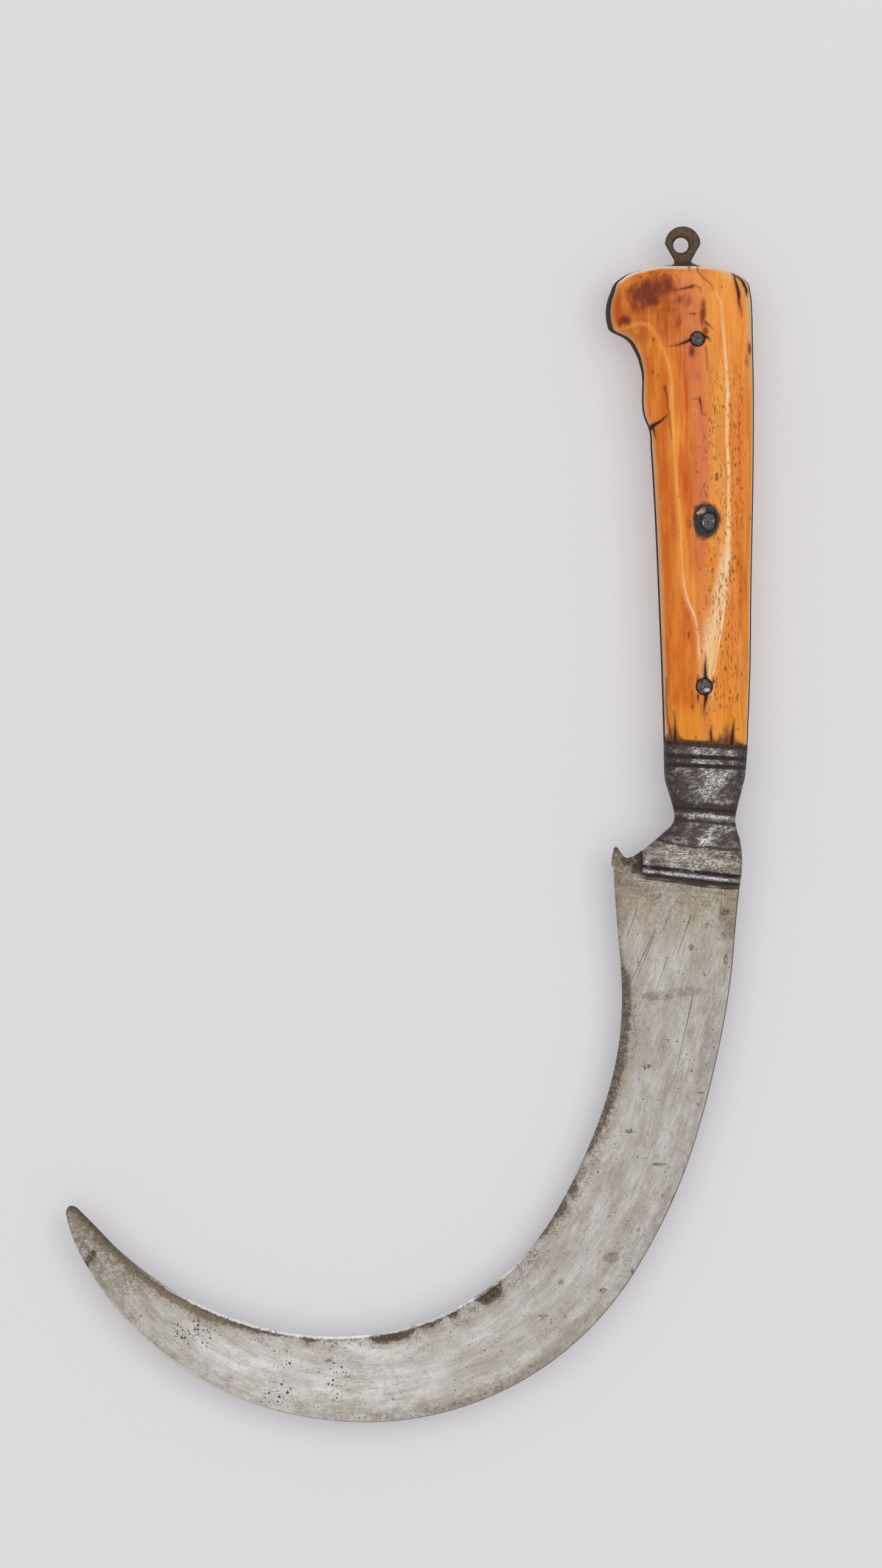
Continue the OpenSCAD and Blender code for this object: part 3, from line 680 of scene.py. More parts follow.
def stored(*names):
    """Values that were stored on the mesh's points."""
    return [add("ShaderNodeAttribute", attribute_name=name)["Fac"] for name in names]


def wire(shader, colour, roughness, metallic, height, depth):
    """Links a finish's results to its shader, where a height of 1 is `depth` millimetres."""
    relief = add("ShaderNodeBump", {"Height": height, "Distance": depth / 1000, "Strength": 1.0})
    results = {"Base Color": colour, "Roughness": roughness, "Metallic": metallic, "Normal": relief}
    for name, value in results.items():
        if value is not None:
            feed(value, shader.inputs[name])


def ramp(value, stops):
    """A colour for a value, from stops of (place, colour)."""
    flow = add("ShaderNodeValToRGB", {0: value})
    elements = flow.socket.node.color_ramp.elements
    while len(elements) < len(stops):
        elements.new(0.5)
    for element, (at, colour) in zip(elements, stops):
        element.position = at
        element.color = colour
    return flow


def profile(value, knots, over):
    """A level that follows knots of (place, level), where `over` is the longest place."""
    return ramp(value / over, [(at / over, (level,) * 3 + (1.0,)) for at, level in knots])


print("ready: marks, stored, wire, ramp, profile")

# %% [markdown]
# ## Finish of the blade
# The steel was ground and rubbed bright long ago, and has since dulled. Its finish starts from a
# warm grey with pale clouds, and lays over it what happened since: rubbing lines that follow the
# curve, slanting lines from the grindstone and a few deep scratches. The lines follow the stored
# values `along` and `from_back`, so they bend with the blade.

# %% Old polished steel: the rubbed faces
steel, shader, spot = new_finish("polished_steel", 0.4, 1.0)
along, from_back, to_edge = stored("along", "from_back", "to_edge")
flow = combined(along, from_back)
flat_spot = spot * (1, 1, 0)
drop = vector("DOT_PRODUCT", spot, (-0.112, -1, 0)) + BASE_Y
slanted = rotated(spot, 24)
level_way = rotated(spot, BASE_TILT)

pale = patches(flow * (0.3, 1, 1), Size=6.0, Cover=0.5, Softness=0.2, Roughness=0.55)
gloom = profile(along, ((0, 1), (125, 1), (165, 0.25), (205, 0.1), (228, 0.7), (270, 0.8)), 270)
bright = mixed(pale, srgb(200, 197, 194), srgb(221, 220, 220))
gloomy = mixed(pale, srgb(168, 163, 159), srgb(197, 195, 194))
coat = Coat(mixed(gloom, bright, gloomy))
sway = noise(flat_spot, 0.09, 2.0)
sway = (sway - 0.5) * 1.5
one_way = flow + combined(0, sway)
other_way = flow - combined(0, sway)
smears = streaks(one_way, Scale=(0.08, 0.5, 1), Cover=0.42, Softness=0.16)
coat.lay(smears, 0.38, 142, 133, 118)
veil = patches(one_way * (0.5, 1, 1), Size=5.0, Cover=0.42, Softness=0.12, Roughness=0.75)
coat.lay(veil, 0.44, 138, 128, 112)
fine = streaks(one_way, Scale=(0.2, 4.0, 1), Cover=0.5, Softness=0.14)
patchy = patches(spot, Size=7.0, Cover=0.55, Softness=0.15)
coat.lay(fine * (0.15 + patchy), 0.2, 134, 126, 114)
lit = streaks(other_way + (40, 0, 9), Scale=(0.16, 3.2, 1), Cover=0.38, Softness=0.1)
coat.lay(lit, 0.18, 230, 229, 228)
mottle = patches(spot, Size=0.8, Cover=0.36, Softness=0.14, Roughness=0.8)
coat.lay(mottle, 0.34, 136, 126, 110)
soiled = patches(other_way * (0.6, 1, 1), Size=2.4, Cover=0.44, Softness=0.09, Roughness=0.8)
soiled = soiled * strongest(spread(from_back, 9, 1, 0.25, 1), spread(to_edge, 6, 0.5))
coat.lay(soiled, 0.42, 122, 111, 97)
specks = patches(spot + (3, 3, 3), Size=0.5, Cover=0.26, Softness=0.05, Roughness=0.72) * (0.3 + veil)
clots = patches(other_way * (0.7, 1.2, 1), Size=1.5, Cover=0.2, Softness=0.05, Roughness=0.85)
specks = strongest(specks, clots * spread(from_back, 11, 2, 0.35, 1))
coat.lay(specks, 0.72, 84, 74, 64)

near_bolster = spread(along, 95, 20)
slants = streaks(slanted, Scale=(2.6, 0.07, 1), Cover=0.4, Softness=0.09) * near_bolster
coat.lay(slants, 0.3, 128, 119, 106)
yellow = spread(drop, 30, 5) * patches(spot, Size=5.0, Cover=0.7, Softness=0.18)
coat.lay(yellow, 0.5, 172, 160, 136)
combed = streaks(level_way, Scale=(0.13, 2.6, 1), Cover=0.5, Softness=0.12)
wiped = combed * spread(drop, 11, 2.5) * (0.4 + patchy)
coat.lay(wiped, 0.5, 118, 106, 86)
dim = spread(drop, 16, 1) * patches(spot, Size=3.2, Cover=0.5, Softness=0.1, Roughness=0.72)
coat.lay(dim, 0.55, 116, 104, 86)
grit = patches(spot + (8, 8, 8), Size=0.9, Cover=0.4, Softness=0.06, Roughness=0.8)
coat.lay(spread(drop, 22, 3) * grit, 0.5, 90, 80, 66)
across_way = axis(spot, "X")
under_bolster = spread(drop - combed * 1.2, 1.1, 0.1)
under_bolster = under_bolster * spread(across_way, -18.5, -15.0)
coat.lay(under_bolster, 0.88, 62, 50, 42)

# x and y of both ends and width of each deep scratch, in millimetres
SCRATCHES = ((-13.3, -48.9, -20.2, -63.7, 0.26), (-13.6, -50.4, -18.0, -61.6, 0.16),
             (-3.9, -45.2, -7.3, -54.9, 0.22), (-9.1, -43.5, -11.2, -48.8, 0.13),
             (-10.0, -56.0, -13.1, -65.0, 0.14), (4.3, -37.9, 3.6, -47.2, 0.09),
             (-18.1, -43.5, -20.6, -50.7, 0.15), (-3.3, -66.0, -8.4, -89.0, 0.13),
             (-29.0, -88.0, -33.5, -103.0, 0.12))
cut = strongest(*[scratch(flat_spot, From=(ax, ay, 0), To=(bx, by, 0), Width=width)
                  for ax, ay, bx, by, width in SCRATCHES])
coat.lay(cut * (0.5 + patchy), 0.62, 92, 80, 66)

# %% [markdown]
# ## What rust has eaten
# The inner edge was sharpened bright in its lower half, and rust has eaten a dark band beside it.
# How wide the band is at each place along the blade comes from a profile of measured knots. Round
# it run thread-like worm tracks, and small pits are strewn over the whole face. The back has a
# thin dark line, and the point is stained.

# %% Old polished steel: rust and stains
EATEN = ((0, 0.5), (24, 0.7), (28.5, 2.7), (62, 2.6), (76, 1.9), (81, 0.6), (88.5, 0.5), (91, 2.4),
         (94, 0.5), (98, 2.5), (102, 0.9), (106, 1.5), (111, 0.3), (127, 0.3), (130, 3.0),
         (135.5, 3.4), (138, 0.3), (143, 0.4), (145.5, 2.1), (148, 0.5), (154.5, 1.8), (157, 0.6),
         (161, 2.3), (170, 2.2), (173, 0.5), (188, 0.6), (191, 1.4), (194, 0.5), (212, 1.6),
         (222, 2.4), (252, 2.4), (268, 2.2))
band_width = profile(along, [(at, width / 4) for at, width in EATEN], 270) * 4
sharpened = profile(along, ((0, 0), (112, 0), (124, 0.6), (150, 0.8), (200, 1), (226, 1),
                            (238, 0.5), (256, 0.15), (270, 0)), 270)
torn = noise(spot, 0.9, 5.0, 0.7)
torn = (torn - 0.5) * 3.2
inwards = to_edge + torn - sharpened * 0.9
gap = band_width - inwards
crumbly = patches(spot, Size=0.7, Cover=0.55, Softness=0.1, Roughness=0.8)
eaten = spread(gap, -0.2, 0.9) * spread(band_width, 0.3, 0.9) * (0.4 + crumbly * 0.6)
low_tone = mixed(crumbly, srgb(128, 119, 115), srgb(78, 68, 66))
point_tone = mixed(spread(to_edge, 1.9, 0.5), srgb(128, 110, 82), srgb(84, 68, 50))
eaten_tone = mixed(spread(along, 85, 125), low_tone, srgb(72, 54, 43))
eaten_tone = mixed(spread(along, 200, 225), eaten_tone, point_tone)
around = spread(gap, -2.6, 0.3) * spread(band_width, 0.5, 1.4)
coat.lay(around, 0.42, 138, 121, 92)
coat.mix(eaten * 0.92, eaten_tone)
bright_edge = sharpened * spread(to_edge + torn * 0.45, 0.85, 0.45)
coat.lay(bright_edge, 0.85, 246, 245, 246)
tracks = worms(flat_spot, Size=2.3, Width=0.015, Cover=0.6)
tracks = tracks * spread(to_edge, 6.0, 2.5) * spread(along, 10, 40)
stray = worms(flat_spot + (7, 50, 0), Size=2.4, Width=0.013, Cover=0.2)
curls = worms(flat_spot, Size=1.9, Width=0.02, Cover=0.9)
curls = curls * marks(spot, [(-151.5, -140.7, 5.5, 4.5)])
tracks = strongest(tracks, stray, curls)
coat.lay(tracks, 0.62, 98, 80, 64)

back_band = profile(along, ((0, 0.25), (40, 0.15), (110, 0.2), (133, 0.75), (150, 1), (172, 0.7),
                            (186, 0.2), (270, 0.3)), 270)
back_band = back_band * spread(from_back + torn, 4.4, 1.4)
coat.lay(back_band * (0.45 + mottle), 0.85, 112, 99, 87)
back_line = spread(from_back, 0.55, 0.2) * patches(flow, Size=7.0, Cover=0.72, Softness=0.1)
coat.lay(back_line, 0.55, 104, 90, 72)
glint = profile(along, ((0, 0.1), (150, 0.2), (200, 0.5), (230, 1), (262, 1), (270, 0.3)), 270)
coat.lay(spread(from_back, 0.55, 0.2) * glint, 0.8, 232, 227, 216)

print("steel nodes so far:", len(steel.node_tree.nodes))

# %% [markdown]
# Some marks are known one by one: spots of rust, smudges, three dark swipes near the point, and
# pits that crowd together in the belly. `marks` sets each kind in its places.

# %% Old polished steel: single marks
# middle, half width, half height and raggedness of each spot of rust
MARKS = ((-56.8, -144.6, 4.2, 2.6, 0.504), (-83.0, -155.9, 5.2, 1.1, 0.48),
         (-5.2, -113.2, 0.9, 2.2, 0.36), (-8.5, -119.8, 0.9, 1.6, 0.36),
         (-1.6, -91.6, 1.0, 0.35, 0.3), (-2.0, -94.6, 0.6, 0.5, 0.36),
         (-37.9, -141.4, 0.9, 0.9, 0.48), (-15.4, -84.7, 1.4, 0.8, 0.6),
         (-19.8, -101.7, 1.6, 0.7, 0.54), (-27.0, -143.6, 1.2, 0.8, 0.54),
         (5.0, -44.0, 1.4, 1.2, 0.6), (-99.0, -162.0, 1.1, 0.7, 0.48),
         (-17.7, -127.5, 0.6, 0.6, 0.36), (-12.2, -110.4, 2.2, 0.5, 0.6),
         (-42.6, -150.2, 1.8, 0.4, 0.48), (-19.2, -138.6, 0.9, 0.9, 0.48),
         (-3.7, -53.4, 0.9, 1.2, 0.6), (5.2, -56.6, 0.8, 1.7, 0.6))
rust = marks(spot, MARKS, grit=1.7)
speckled = patches(spot + (5, 1, 5), Size=0.4, Cover=0.46, Softness=0.05, Roughness=0.7)
rust = rust * (0.25 + strongest(crumbly, speckled) * speckled * 0.75)
coat.lay(rust, 0.9, 70, 54, 44)
SMUDGES = ((-12.0, -66.2, 6.0, 1.5), (-5.0, -65.0, 6.0, 1.5), (6.0, -47.0, 3.4, 5.0),
           (-22.5, -45.0, 2.6, 5.5), (-21.3, -33.6, 4.6, 5.6), (-32.8, -113.2, 1.8, 2.2),
           (-34.6, -117.6, 1.9, 1.8), (-37.0, -122.4, 2.0, 1.8), (-24.5, -135.0, 3.0, 1.6),
           (-45.0, -119.0, 3.0, 6.0))
smudge = marks(spot, SMUDGES, grit=0.35)
coat.lay(smudge * (0.3 + veil * 0.4) * (0.8 + mottle), 0.8, 96, 84, 68)

at_point = spread(along, 226, 262)
stained_point = at_point * patches(spot, Size=1.3, Cover=0.56, Softness=0.08, Roughness=0.8)
coat.lay(at_point, 0.3, 164, 155, 138)
coat.lay(stained_point, 0.66, 100, 89, 74)
coat.lay(at_point * spread(to_edge, 1.7, 0.3), 0.7, 88, 75, 57)
SWIPE = ((-162.7, -136.6, 1.1, 1.1), (-161.8, -135.2, 1.1, 1.1), (-160.9, -133.8, 1.1, 1.1))
swipe = marks(spot, SWIPE, ragged=0.5, grit=1.6)
coat.lay(swipe * (0.4 + crumbly), 0.8, 72, 64, 52)

holes = pits(spot, Spacing=1.5, Share=0.4, Radius=0.16)
stray_way = add("ShaderNodeVectorMath", {0: noise(flat_spot, 1.3, 3.0)["Color"], "Scale": 0.6},
                operation="SCALE")
cells = add("ShaderNodeTexVoronoi", {"Vector": flat_spot + stray_way, "Scale": 0.9},
            voronoi_dimensions="2D")
lot = add("ShaderNodeSeparateColor", {0: cells["Color"]})
wide = 0.06 + lot[1] * lot[1] * lot[1] * 0.32
crowd = spread(cells["Distance"] - wide, 0.06, -0.04) * (lot[0] < 0.55)
fine_crowd = pits(spot, Spacing=1.1, Share=0.6, Radius=0.22)
CROWDED = ((-111.8, -171.4, 5.0, 4.5), (-96.5, -167.6, 4.2, 6.0), (-111.5, -161.5, 4.5, 3.0),
           (-134.0, -155.0, 7.0, 5.0), (-5.0, -86.0, 3.0, 8.0), (-12.0, -110.0, 4.0, 6.0))
crowd = strongest(crowd * spread(across_way, -88, -92), fine_crowd) * marks(spot, CROWDED)
holes = strongest(holes, crowd)
coat.lay(holes, 0.92, 50, 42, 40)

dull = strongest(eaten, rust, stained_point * 0.5, under_bolster)
rough = 0.37 + dull * 0.3
whole = 1 - strongest(dull, holes) * 0.55
height = fine * 0.12 + slants * 0.1
sunk = holes * 1.5 + (cut + tracks + eaten)
wire(shader, coat.colour, rough, whole, height - sunk, 0.05)
print("steel nodes:", len(steel.node_tree.nodes))

# %% The blade, ground
settle(blade_piece, blade_tree, steel)
print("blade box (mm):", np.round(points_of(blade_piece).min(0), 2),
      np.round(points_of(blade_piece).max(0), 2))

# %% [markdown]
# ## Outline of the grip and the tang
# The tang is as wide as the grip and shows as a dark line round the ivory. Both sides of the
# outline are curves through measured knots. The front side has a small step and then swells into
# the beak of the pommel.

# %% Sides of grip and bolster
GRIP = 125.7
TILT = math.tan(math.radians(4.6))
HIGH, REACH, BOW = 16.1, 10.1, 12.645
BEAK = ((26.7, 0.1), (22.7, 0.24), (18.9, 0.54), (17.1, 0.89), (15.3, 0.965), (12.4, 1), (7.5, 0.9),
        (3.7, 0.66), (1.7, 0.27), (0.5, -0.25), (0, -0.61))
FRONT = [(-4, 10.9), (0, 11), (35, 12.2333), (77.3, 14.4), (82.5, 14.8), (85.9, 16.1),
         *((GRIP - drop, HIGH + part * REACH) for drop, part in BEAK)]
BACK = [(-4, 10.85), (0, 11), (16, 11.675), (42, 12.05), (GRIP - 47, BOW), (GRIP - 32, BOW),
        (GRIP - 18.5, BOW - 0.25), (GRIP - 11.4, BOW - 0.45), (GRIP - 7.5, BOW - 0.8),
        (GRIP - 3.6, BOW - 2.5), (GRIP - 2.4, BOW - 4.5), (GRIP - 1.1, BOW - 8.2),
        (GRIP - 0.5, BOW - 11.2), (GRIP, BOW - 14.4)]
FLARE = [(-31.4, 18.82), (-29, 15.8), (-26.7, 13.4), (-24.5, 11.2), (-22.3, 9), (-19.5, 8.1),
         (-17.4, 8.5), (-13.5, 9.6), (-10, 10.6), (-8, 10.8), (-4, 10.9), (0, 11)]


def edge_of_blade(s, from_back):
    """The blade's outline at s, so far in from its back."""
    x, y, h = middle_line(s)
    off = blade_width(s) / 2 - from_back
    return np.array([x - math.sin(h) * off, y + math.cos(h) * off])


def line_above_base(p):
    """How far a point lies above the bolster's slanting base line."""
    return p[1] + p[0] * math.tan(math.radians(BASE_TILT)) - BASE_Y


def where_base_crosses(front):
    """Where the base of the bolster crosses the blade's front or back."""
    a, b = (edge_of_blade(s, blade_width(s) if front else 0) for s in (0, 1))
    s = line_above_base(a) / (line_above_base(a) - line_above_base(b))
    return edge_of_blade(s, blade_width(s) if front else 0)


lower_back, lower_front = where_base_crosses(False), where_base_crosses(True)
heel = edge_of_blade(-0.5, blade_width(-0.5))
shoulder_back = edge_of_blade(-0.6, 0)
REAR = [(BASE_Y, lower_back[0]), (BASE_Y + line_above_base(shoulder_back), shoulder_back[0]),
        (-30, 9.6), (-27.9, 9.45), (-24.3, 9), (-21.5, 8.1), (-19.5, 7.8), (-15.9, 8.35),
        (-11.9, 9.4), (-8.1, 10.3), (-4.2, 10.7), (0, 11)]
TILTS = [(BASE_Y, BASE_TILT), (-19.5, 5), (-8, 2.5), (-4, 2.5), (0, 4.6)]
print("heel", np.round(heel, 2), "base line", np.round(lower_front, 2), np.round(lower_back, 2))

# %% [markdown]
# ## Tang and spur
# One plate carries the whole knife: the tang under the scales and, at the heel, a small spur like
# a thorn with a notch behind it. It is the outline, given the tang's thickness, with its sharp
# corners broken by a small bevel, as a file would leave them.

# %% Steel of the tang and the spur
dark_steel, shader, spot = new_finish("tang_steel", 0.5, 1.0)
up_grip_way = axis(spot, "Y")
bare = spread(up_grip_way, -26.0, -29.5)
soot = patches(spot, Size=1.0, Cover=0.42, Softness=0.12, Roughness=0.75)
low = spread(up_grip_way, -31.5, -35.0)
coat = Coat(mixed(bare, srgb(58, 48, 43), srgb(126, 117, 103)))
coat.mix(low, srgb(172, 161, 141))
pale = patches(spot, Size=0.7, Cover=0.42, Softness=0.08, Roughness=0.75)
coat.lay(bare * pale, 0.5, 172, 163, 148)
coat.lay(soot, 0.55, 76, 66, 57)
CREASE = ((-20.6, -30.6, 1.9, 1.5), (-18.6, -32.9, 1.3, 1.7), (-16.4, -34.4, 2.4, 0.9))
crease = marks(spot, CREASE, ragged=0.25, grit=1.2)
coat.lay(crease, 0.8, 50, 41, 35)
smears = streaks(spot, Scale=(0.4, 2.4, 1), Cover=0.5, Softness=0.14)
coat.lay(bare * smears, 0.4, 128, 116, 96)
holes = pits(spot, Spacing=0.9, Share=0.4, Radius=0.22)
coat.lay(holes, 0.8, 44, 36, 32)
shine = spread(bare, 0, 1, 0.45, 1.0)
sunk = soot + holes
wire(shader, coat.colour, spread(bare, 0, 1, 0.55, 0.38), shine, sunk * -1, 0.05)


# %% The tang plate
TANG_HALF = 1.7


def arc(centre, radius, start, end, count):
    """Points on a circle from one angle to another, in degrees."""
    angles = np.radians(np.linspace(start, end, count))
    return [(centre[0] + radius * math.cos(a), centre[1] + radius * math.sin(a)) for a in angles]


def on_station(y, x):
    """A bolster station slopes across the knife, and crosses the axis at height y."""
    return (x, y - x * math.tan(math.radians(float(straight(TILTS, y)))))


spur_tip = heel + (0.65, 4.75)
notch = spur_tip + (3.0, -1.0)
spur = [*arc(notch, 1.3, -60, -150, 12), tuple(spur_tip + (0.95, -0.45)),
        *arc(spur_tip, 0.6, 15, 170, 14), tuple(heel + (-0.45, 2.55)), tuple(heel + (-0.6, 0.5)),
        tuple(heel), tuple(lower_front)]
up_grip = np.unique(np.concatenate([np.linspace(0.3, 80, 130), np.linspace(80, 88, 30),
                                    np.linspace(88, GRIP - 28, 20),
                                    np.linspace(GRIP - 28, GRIP - 4, 90),
                                    GRIP - 4 * (1 - np.linspace(0, 1, 60)) ** 2]))
outline = [on_station(y, float(smooth(REAR, y))) for y in np.linspace(BASE_Y, -0.4, 90)]
outline += [(float(smooth(BACK, y)), y) for y in up_grip]
outline += [(-float(smooth(FRONT, y)), y) for y in up_grip[::-1]]
outline += [on_station(y, -float(smooth(FLARE, y))) for y in np.linspace(-0.4, -31.4, 90)] + spur
shape = bmesh.new()
bottom = [shape.verts.new(place((x, y, -TANG_HALF))) for x, y in outline]
base_face = shape.faces.new(bottom)
raised = bmesh.ops.extrude_face_region(shape, geom=[base_face])
top = [v for v in raised["geom"] if isinstance(v, bmesh.types.BMVert)]
bmesh.ops.translate(shape, vec=(0, 0, TANG_HALF * 2 / 1000), verts=top)
rims = [e for e in shape.edges if abs(e.verts[0].co.z - e.verts[1].co.z) < 1e-6]
bmesh.ops.bevel(shape, geom=rims, offset=0.00022, segments=3, profile=0.5, affect="EDGES",
                clamp_overlap=True)
tang_mesh = bpy.data.meshes.new("tang_plate")
shape.to_mesh(tang_mesh)
shape.free()
print("tang open edges:", finish_mesh(tang_mesh, 50))
tang_piece = bpy.data.objects.new("tang_plate", tang_mesh)
scene.collection.objects.link(tang_piece)
tang_mesh.materials.append(dark_steel)

# %% [markdown]
# ## The bolster
# Each half is forged over the tang and filed: a round collar with two grooves, a narrow waist with
# a ring, and a flare that is filed flat on its face and ends in a moulding along the blade. The
# skin is a loft whose rings are flattened ovals that grow squarer downwards.

# %% Forged iron of the bolster
iron, shader, spot = new_finish("forged_iron", 0.45, 1.0)
hollow, worn, filed = stored("hollow", "worn", "filed")
turned = rotated(spot, -16)
clouds = noise(spot, 0.26, 4.0, 0.6)
cover = worn + (clouds - 0.5) * 1.35
cover = cover - hollow * 0.8
slim = turned * (0.5, 1, 1)
silver = patches(slim, Size=0.85, Cover=cover, Softness=0.09, Roughness=0.8)
flecks = patches(slim + (9, 4, 2), Size=0.36, Cover=0.4, Softness=0.045, Roughness=0.6)
silver = silver * (1 - flecks * 0.82)
coat = Coat(mixed(clouds, srgb(80, 70, 69), srgb(52, 45, 46)))
rusty = patches(spot, Size=1.6, Cover=0.42, Softness=0.1) * (1 - silver)
coat.lay(rusty, 0.5, 98, 76, 64)
coat.lay(filed, 0.6, 98, 84, 70)
coat.mix(silver, srgb(140, 134, 131))
sheen = streaks(turned, Scale=(0.3, 2.6, 1), Cover=cover, Softness=0.1)
glint = patches(slim + (3, 9, 2), Size=0.6, Cover=cover - 0.22, Softness=0.07, Roughness=0.8)
coat.lay(silver * sheen, 0.5, 172, 167, 165)
coat.lay(silver * glint, 0.62, 220, 217, 217)
coat.lay(silver * filed, 0.5, 196, 187, 174)
lined = streaks(spot, Scale=(0.22, 3.0, 1), Cover=0.5, Softness=0.12)
coat.lay(filed * lined, 0.5, 104, 92, 80)
tinged = filed * patches(spot * (0.5, 1, 1), Size=1.8, Cover=0.46, Softness=0.08, Roughness=0.8)
coat.lay(tinged, 0.7, 84, 72, 62)
crumbs = pits(spot, Spacing=0.6, Share=0.5, Radius=0.42)
crumbs = crumbs * patches(spot, Size=2.4, Cover=0.55, Softness=0.08)
coat.lay(crumbs, 0.85, 44, 36, 36)
coat.lay(hollow, 0.82, 46, 37, 35)
rough = 0.56 - silver * 0.2
shine = 0.6 + silver * 0.4
height = silver * 0.6 - crumbs
wire(shader, coat.colour, rough, shine, height, 0.07)

# %% One half of the bolster
MOULD = BASE_Y + 2.7
RISE = [(BASE_Y, 7.8), (-21.5, 4.9), (-19.5, 4.8), (-13.5, 6.4), (-8, 7.2), (0, 7.4)]
MOULDING = [(BASE_Y, 3.9), (BASE_Y + 0.5, 5.0), (BASE_Y + 1.1, 5.3), (BASE_Y + 1.7, 5.0),
            (BASE_Y + 2.2, 4.5), (MOULD, 4.5)]
FACE_END = 16.8
SEAT, FACE_TOP, FACE_HEIGHT = 2.3, -22.0, 6.0
FOOT = [(BASE_Y, 15.4), (-35.5, 17.0), (-34.6, 18.2), (-33.5, 18.9), (-30, 20.2)]
POWER = [(BASE_Y, 7), (-31, 5.5), (-27, 4.2), (-19.5, 2.8), (0, 2.6)]


def bolster_height(y):
    """How far the bolster rises above the middle plane at station y."""
    if y < MOULD:
        return float(smooth(MOULDING, y))
    grooves = bump_at(y, -3.5, 0.6) + bump_at(y, -5.8, 0.6) + bump_at(y, -17.5, 0.8)
    return float(smooth(RISE, y) + 0.45 * bump_at(y, -19.0, 1.15) - 0.4 * grooves)


def flattened(half_x, half_y, power, angles):
    """Points of an oval that grows squarer as its power rises."""
    c, s = np.cos(angles), np.sin(angles)
    along_x = half_x * np.sign(c) * np.abs(c) ** (2 / power)
    along_y = half_y * np.sign(s) * np.abs(s) ** (2 / power)
    return along_x, along_y


def bolster_ring(y, count=140):
    """The bolster's section at station y, from the back round to the front."""
    reach = min(float(smooth(FLARE, y)), float(straight(FOOT, y)))
    front, back = -min(reach, FACE_END), float(smooth(REAR, y))
    x, z = flattened((back - front) / 2, bolster_height(y) - SEAT, float(straight(POWER, y)),
                     np.linspace(0, np.pi, 241))
    line = np.stack([(back + front) / 2 + x, SEAT + z], axis=1)
    if reach > FACE_END:
        line[:, 1] = np.maximum(line[:, 1], 1.75)
        line = np.vstack([line[line[:, 1] > 2.9], [-FACE_END - 0.03, 2.7], [-FACE_END - 0.4, 2.75],
                          [0.15 - reach, 2.45], [-reach, 2.2]])
        front = -reach
    line = np.vstack([[back, 1.7], line, [front, 1.7]])
    if y < FACE_TOP:
        line[:, 1] -= np.maximum(line[:, 1] - FACE_HEIGHT, 0) * ease((FACE_TOP - y) / 0.5)
    line = evened(line, count)
    slope = math.tan(math.radians(float(straight(TILTS, y))))
    return [(px, y - px * slope, pz) for px, pz in line]


bolster_ys = np.concatenate([np.linspace(BASE_Y, MOULD, 22)[:-1],
                             np.linspace(MOULD + 0.02, -20.6, 50)[:-1],
                             np.linspace(-20.6, -17.4, 26)[:-1], np.linspace(-17.4, -7, 40)[:-1],
                             np.linspace(-7, 0, 48)])
half_bolster = [bolster_ring(y) for y in bolster_ys]


def mirrored(rings):
    """The same rings on the knife's back."""
    return np.asarray(rings, float) * (1, 1, -1)


def weather_bolster(piece, seed):
    """Small dents of forging, and what the finish needs to know of the shape."""
    points = points_of(piece)
    x, y, z = points.T
    high_up = np.sign(z) * ease((np.abs(z) - 2.2) / 1.5)
    axis_y = y + x * np.tan(np.radians(straight(TILTS, y)))
    dents = 0.11 * grain(x, y, 3.1, seed) + 0.05 * grain(x, y, 1.1, seed + 1) - 0.05
    points[:, 2] -= high_up * np.abs(dents) * (axis_y < -0.3)
    move_points(piece, points)
    by_tang = ease((1.4 - np.abs(z - np.sign(z) * 1.7)) / 1.4) * (np.abs(z) < 3.4)
    lines = [(-3.5, 0.8, 1), (-5.8, 0.8, 1), (-17.3, 1.0, 0.9), (-20.5, 0.6, 0.8), (-16.2, 1.1, 0.45),
             (BASE_Y - 0.1, 0.7, 1), (BASE_Y + 2.4, 0.45, 0.7)]
    hollow = np.maximum.reduce([
        *(strength * bump_at(axis_y, at, half) for at, half, strength in lines),
        ease((axis_y + 1.2) / 0.7), 0.7 * by_tang * (x > 0.2 - FACE_END),
        0.75 * bump_at(x, -0.4 - FACE_END, 0.6) * (axis_y < -28.5)])
    hollow = hollow * (0.8 + 0.35 * grain(x, y * 2, 1.1, seed + 5))
    side = np.abs(x) / np.where(x > 0, smooth(REAR, axis_y), smooth(FLARE, axis_y))
    worn = (0.62 - 0.26 * ease((side - 0.3) / 0.7) - 0.12 * ease((1 - x) / 6) * (axis_y > -25)
            + 0.3 * bump_at(axis_y, -19.0, 1.1))
    worn += 0.05 * ease((-26.5 - axis_y) / 2) + 0.22 * bump_at(axis_y, BASE_Y + 1.1, 0.9)
    arch = -27.3 + 0.9 * (x / 12) ** 2 + 0.35 * grain(x, y, 2.5, seed + 2)
    on_face = ease((arch - axis_y) / 0.5) * ease((FACE_END + x) / 0.4) * (axis_y > MOULD)
    hollow = np.maximum(hollow, 0.4 * bump_at(axis_y, arch, 0.5) * (np.abs(z) > 2.4))
    worn += (0.3 * bump_at(axis_y, arch - 0.7, 0.7) * ease((-x - 2) / 8)
             + on_face * (0.1 + 0.3 * bump_at(axis_y, -30.6, 1.9)))
    worn += (0.34 * bump_at(x, 1.5 - FACE_END, 1.5) * (axis_y < -28.4)
             - 0.06 * (x < -FACE_END - 0.3) * (axis_y < -28))
    worn += 0.45 * bump_at(x, -18.9, 1.0) * bump_at(y, -31.2, 2.0)
    store(piece, "filed", on_face)
    store(piece, "hollow", hollow)
    store(piece, "worn", worn)


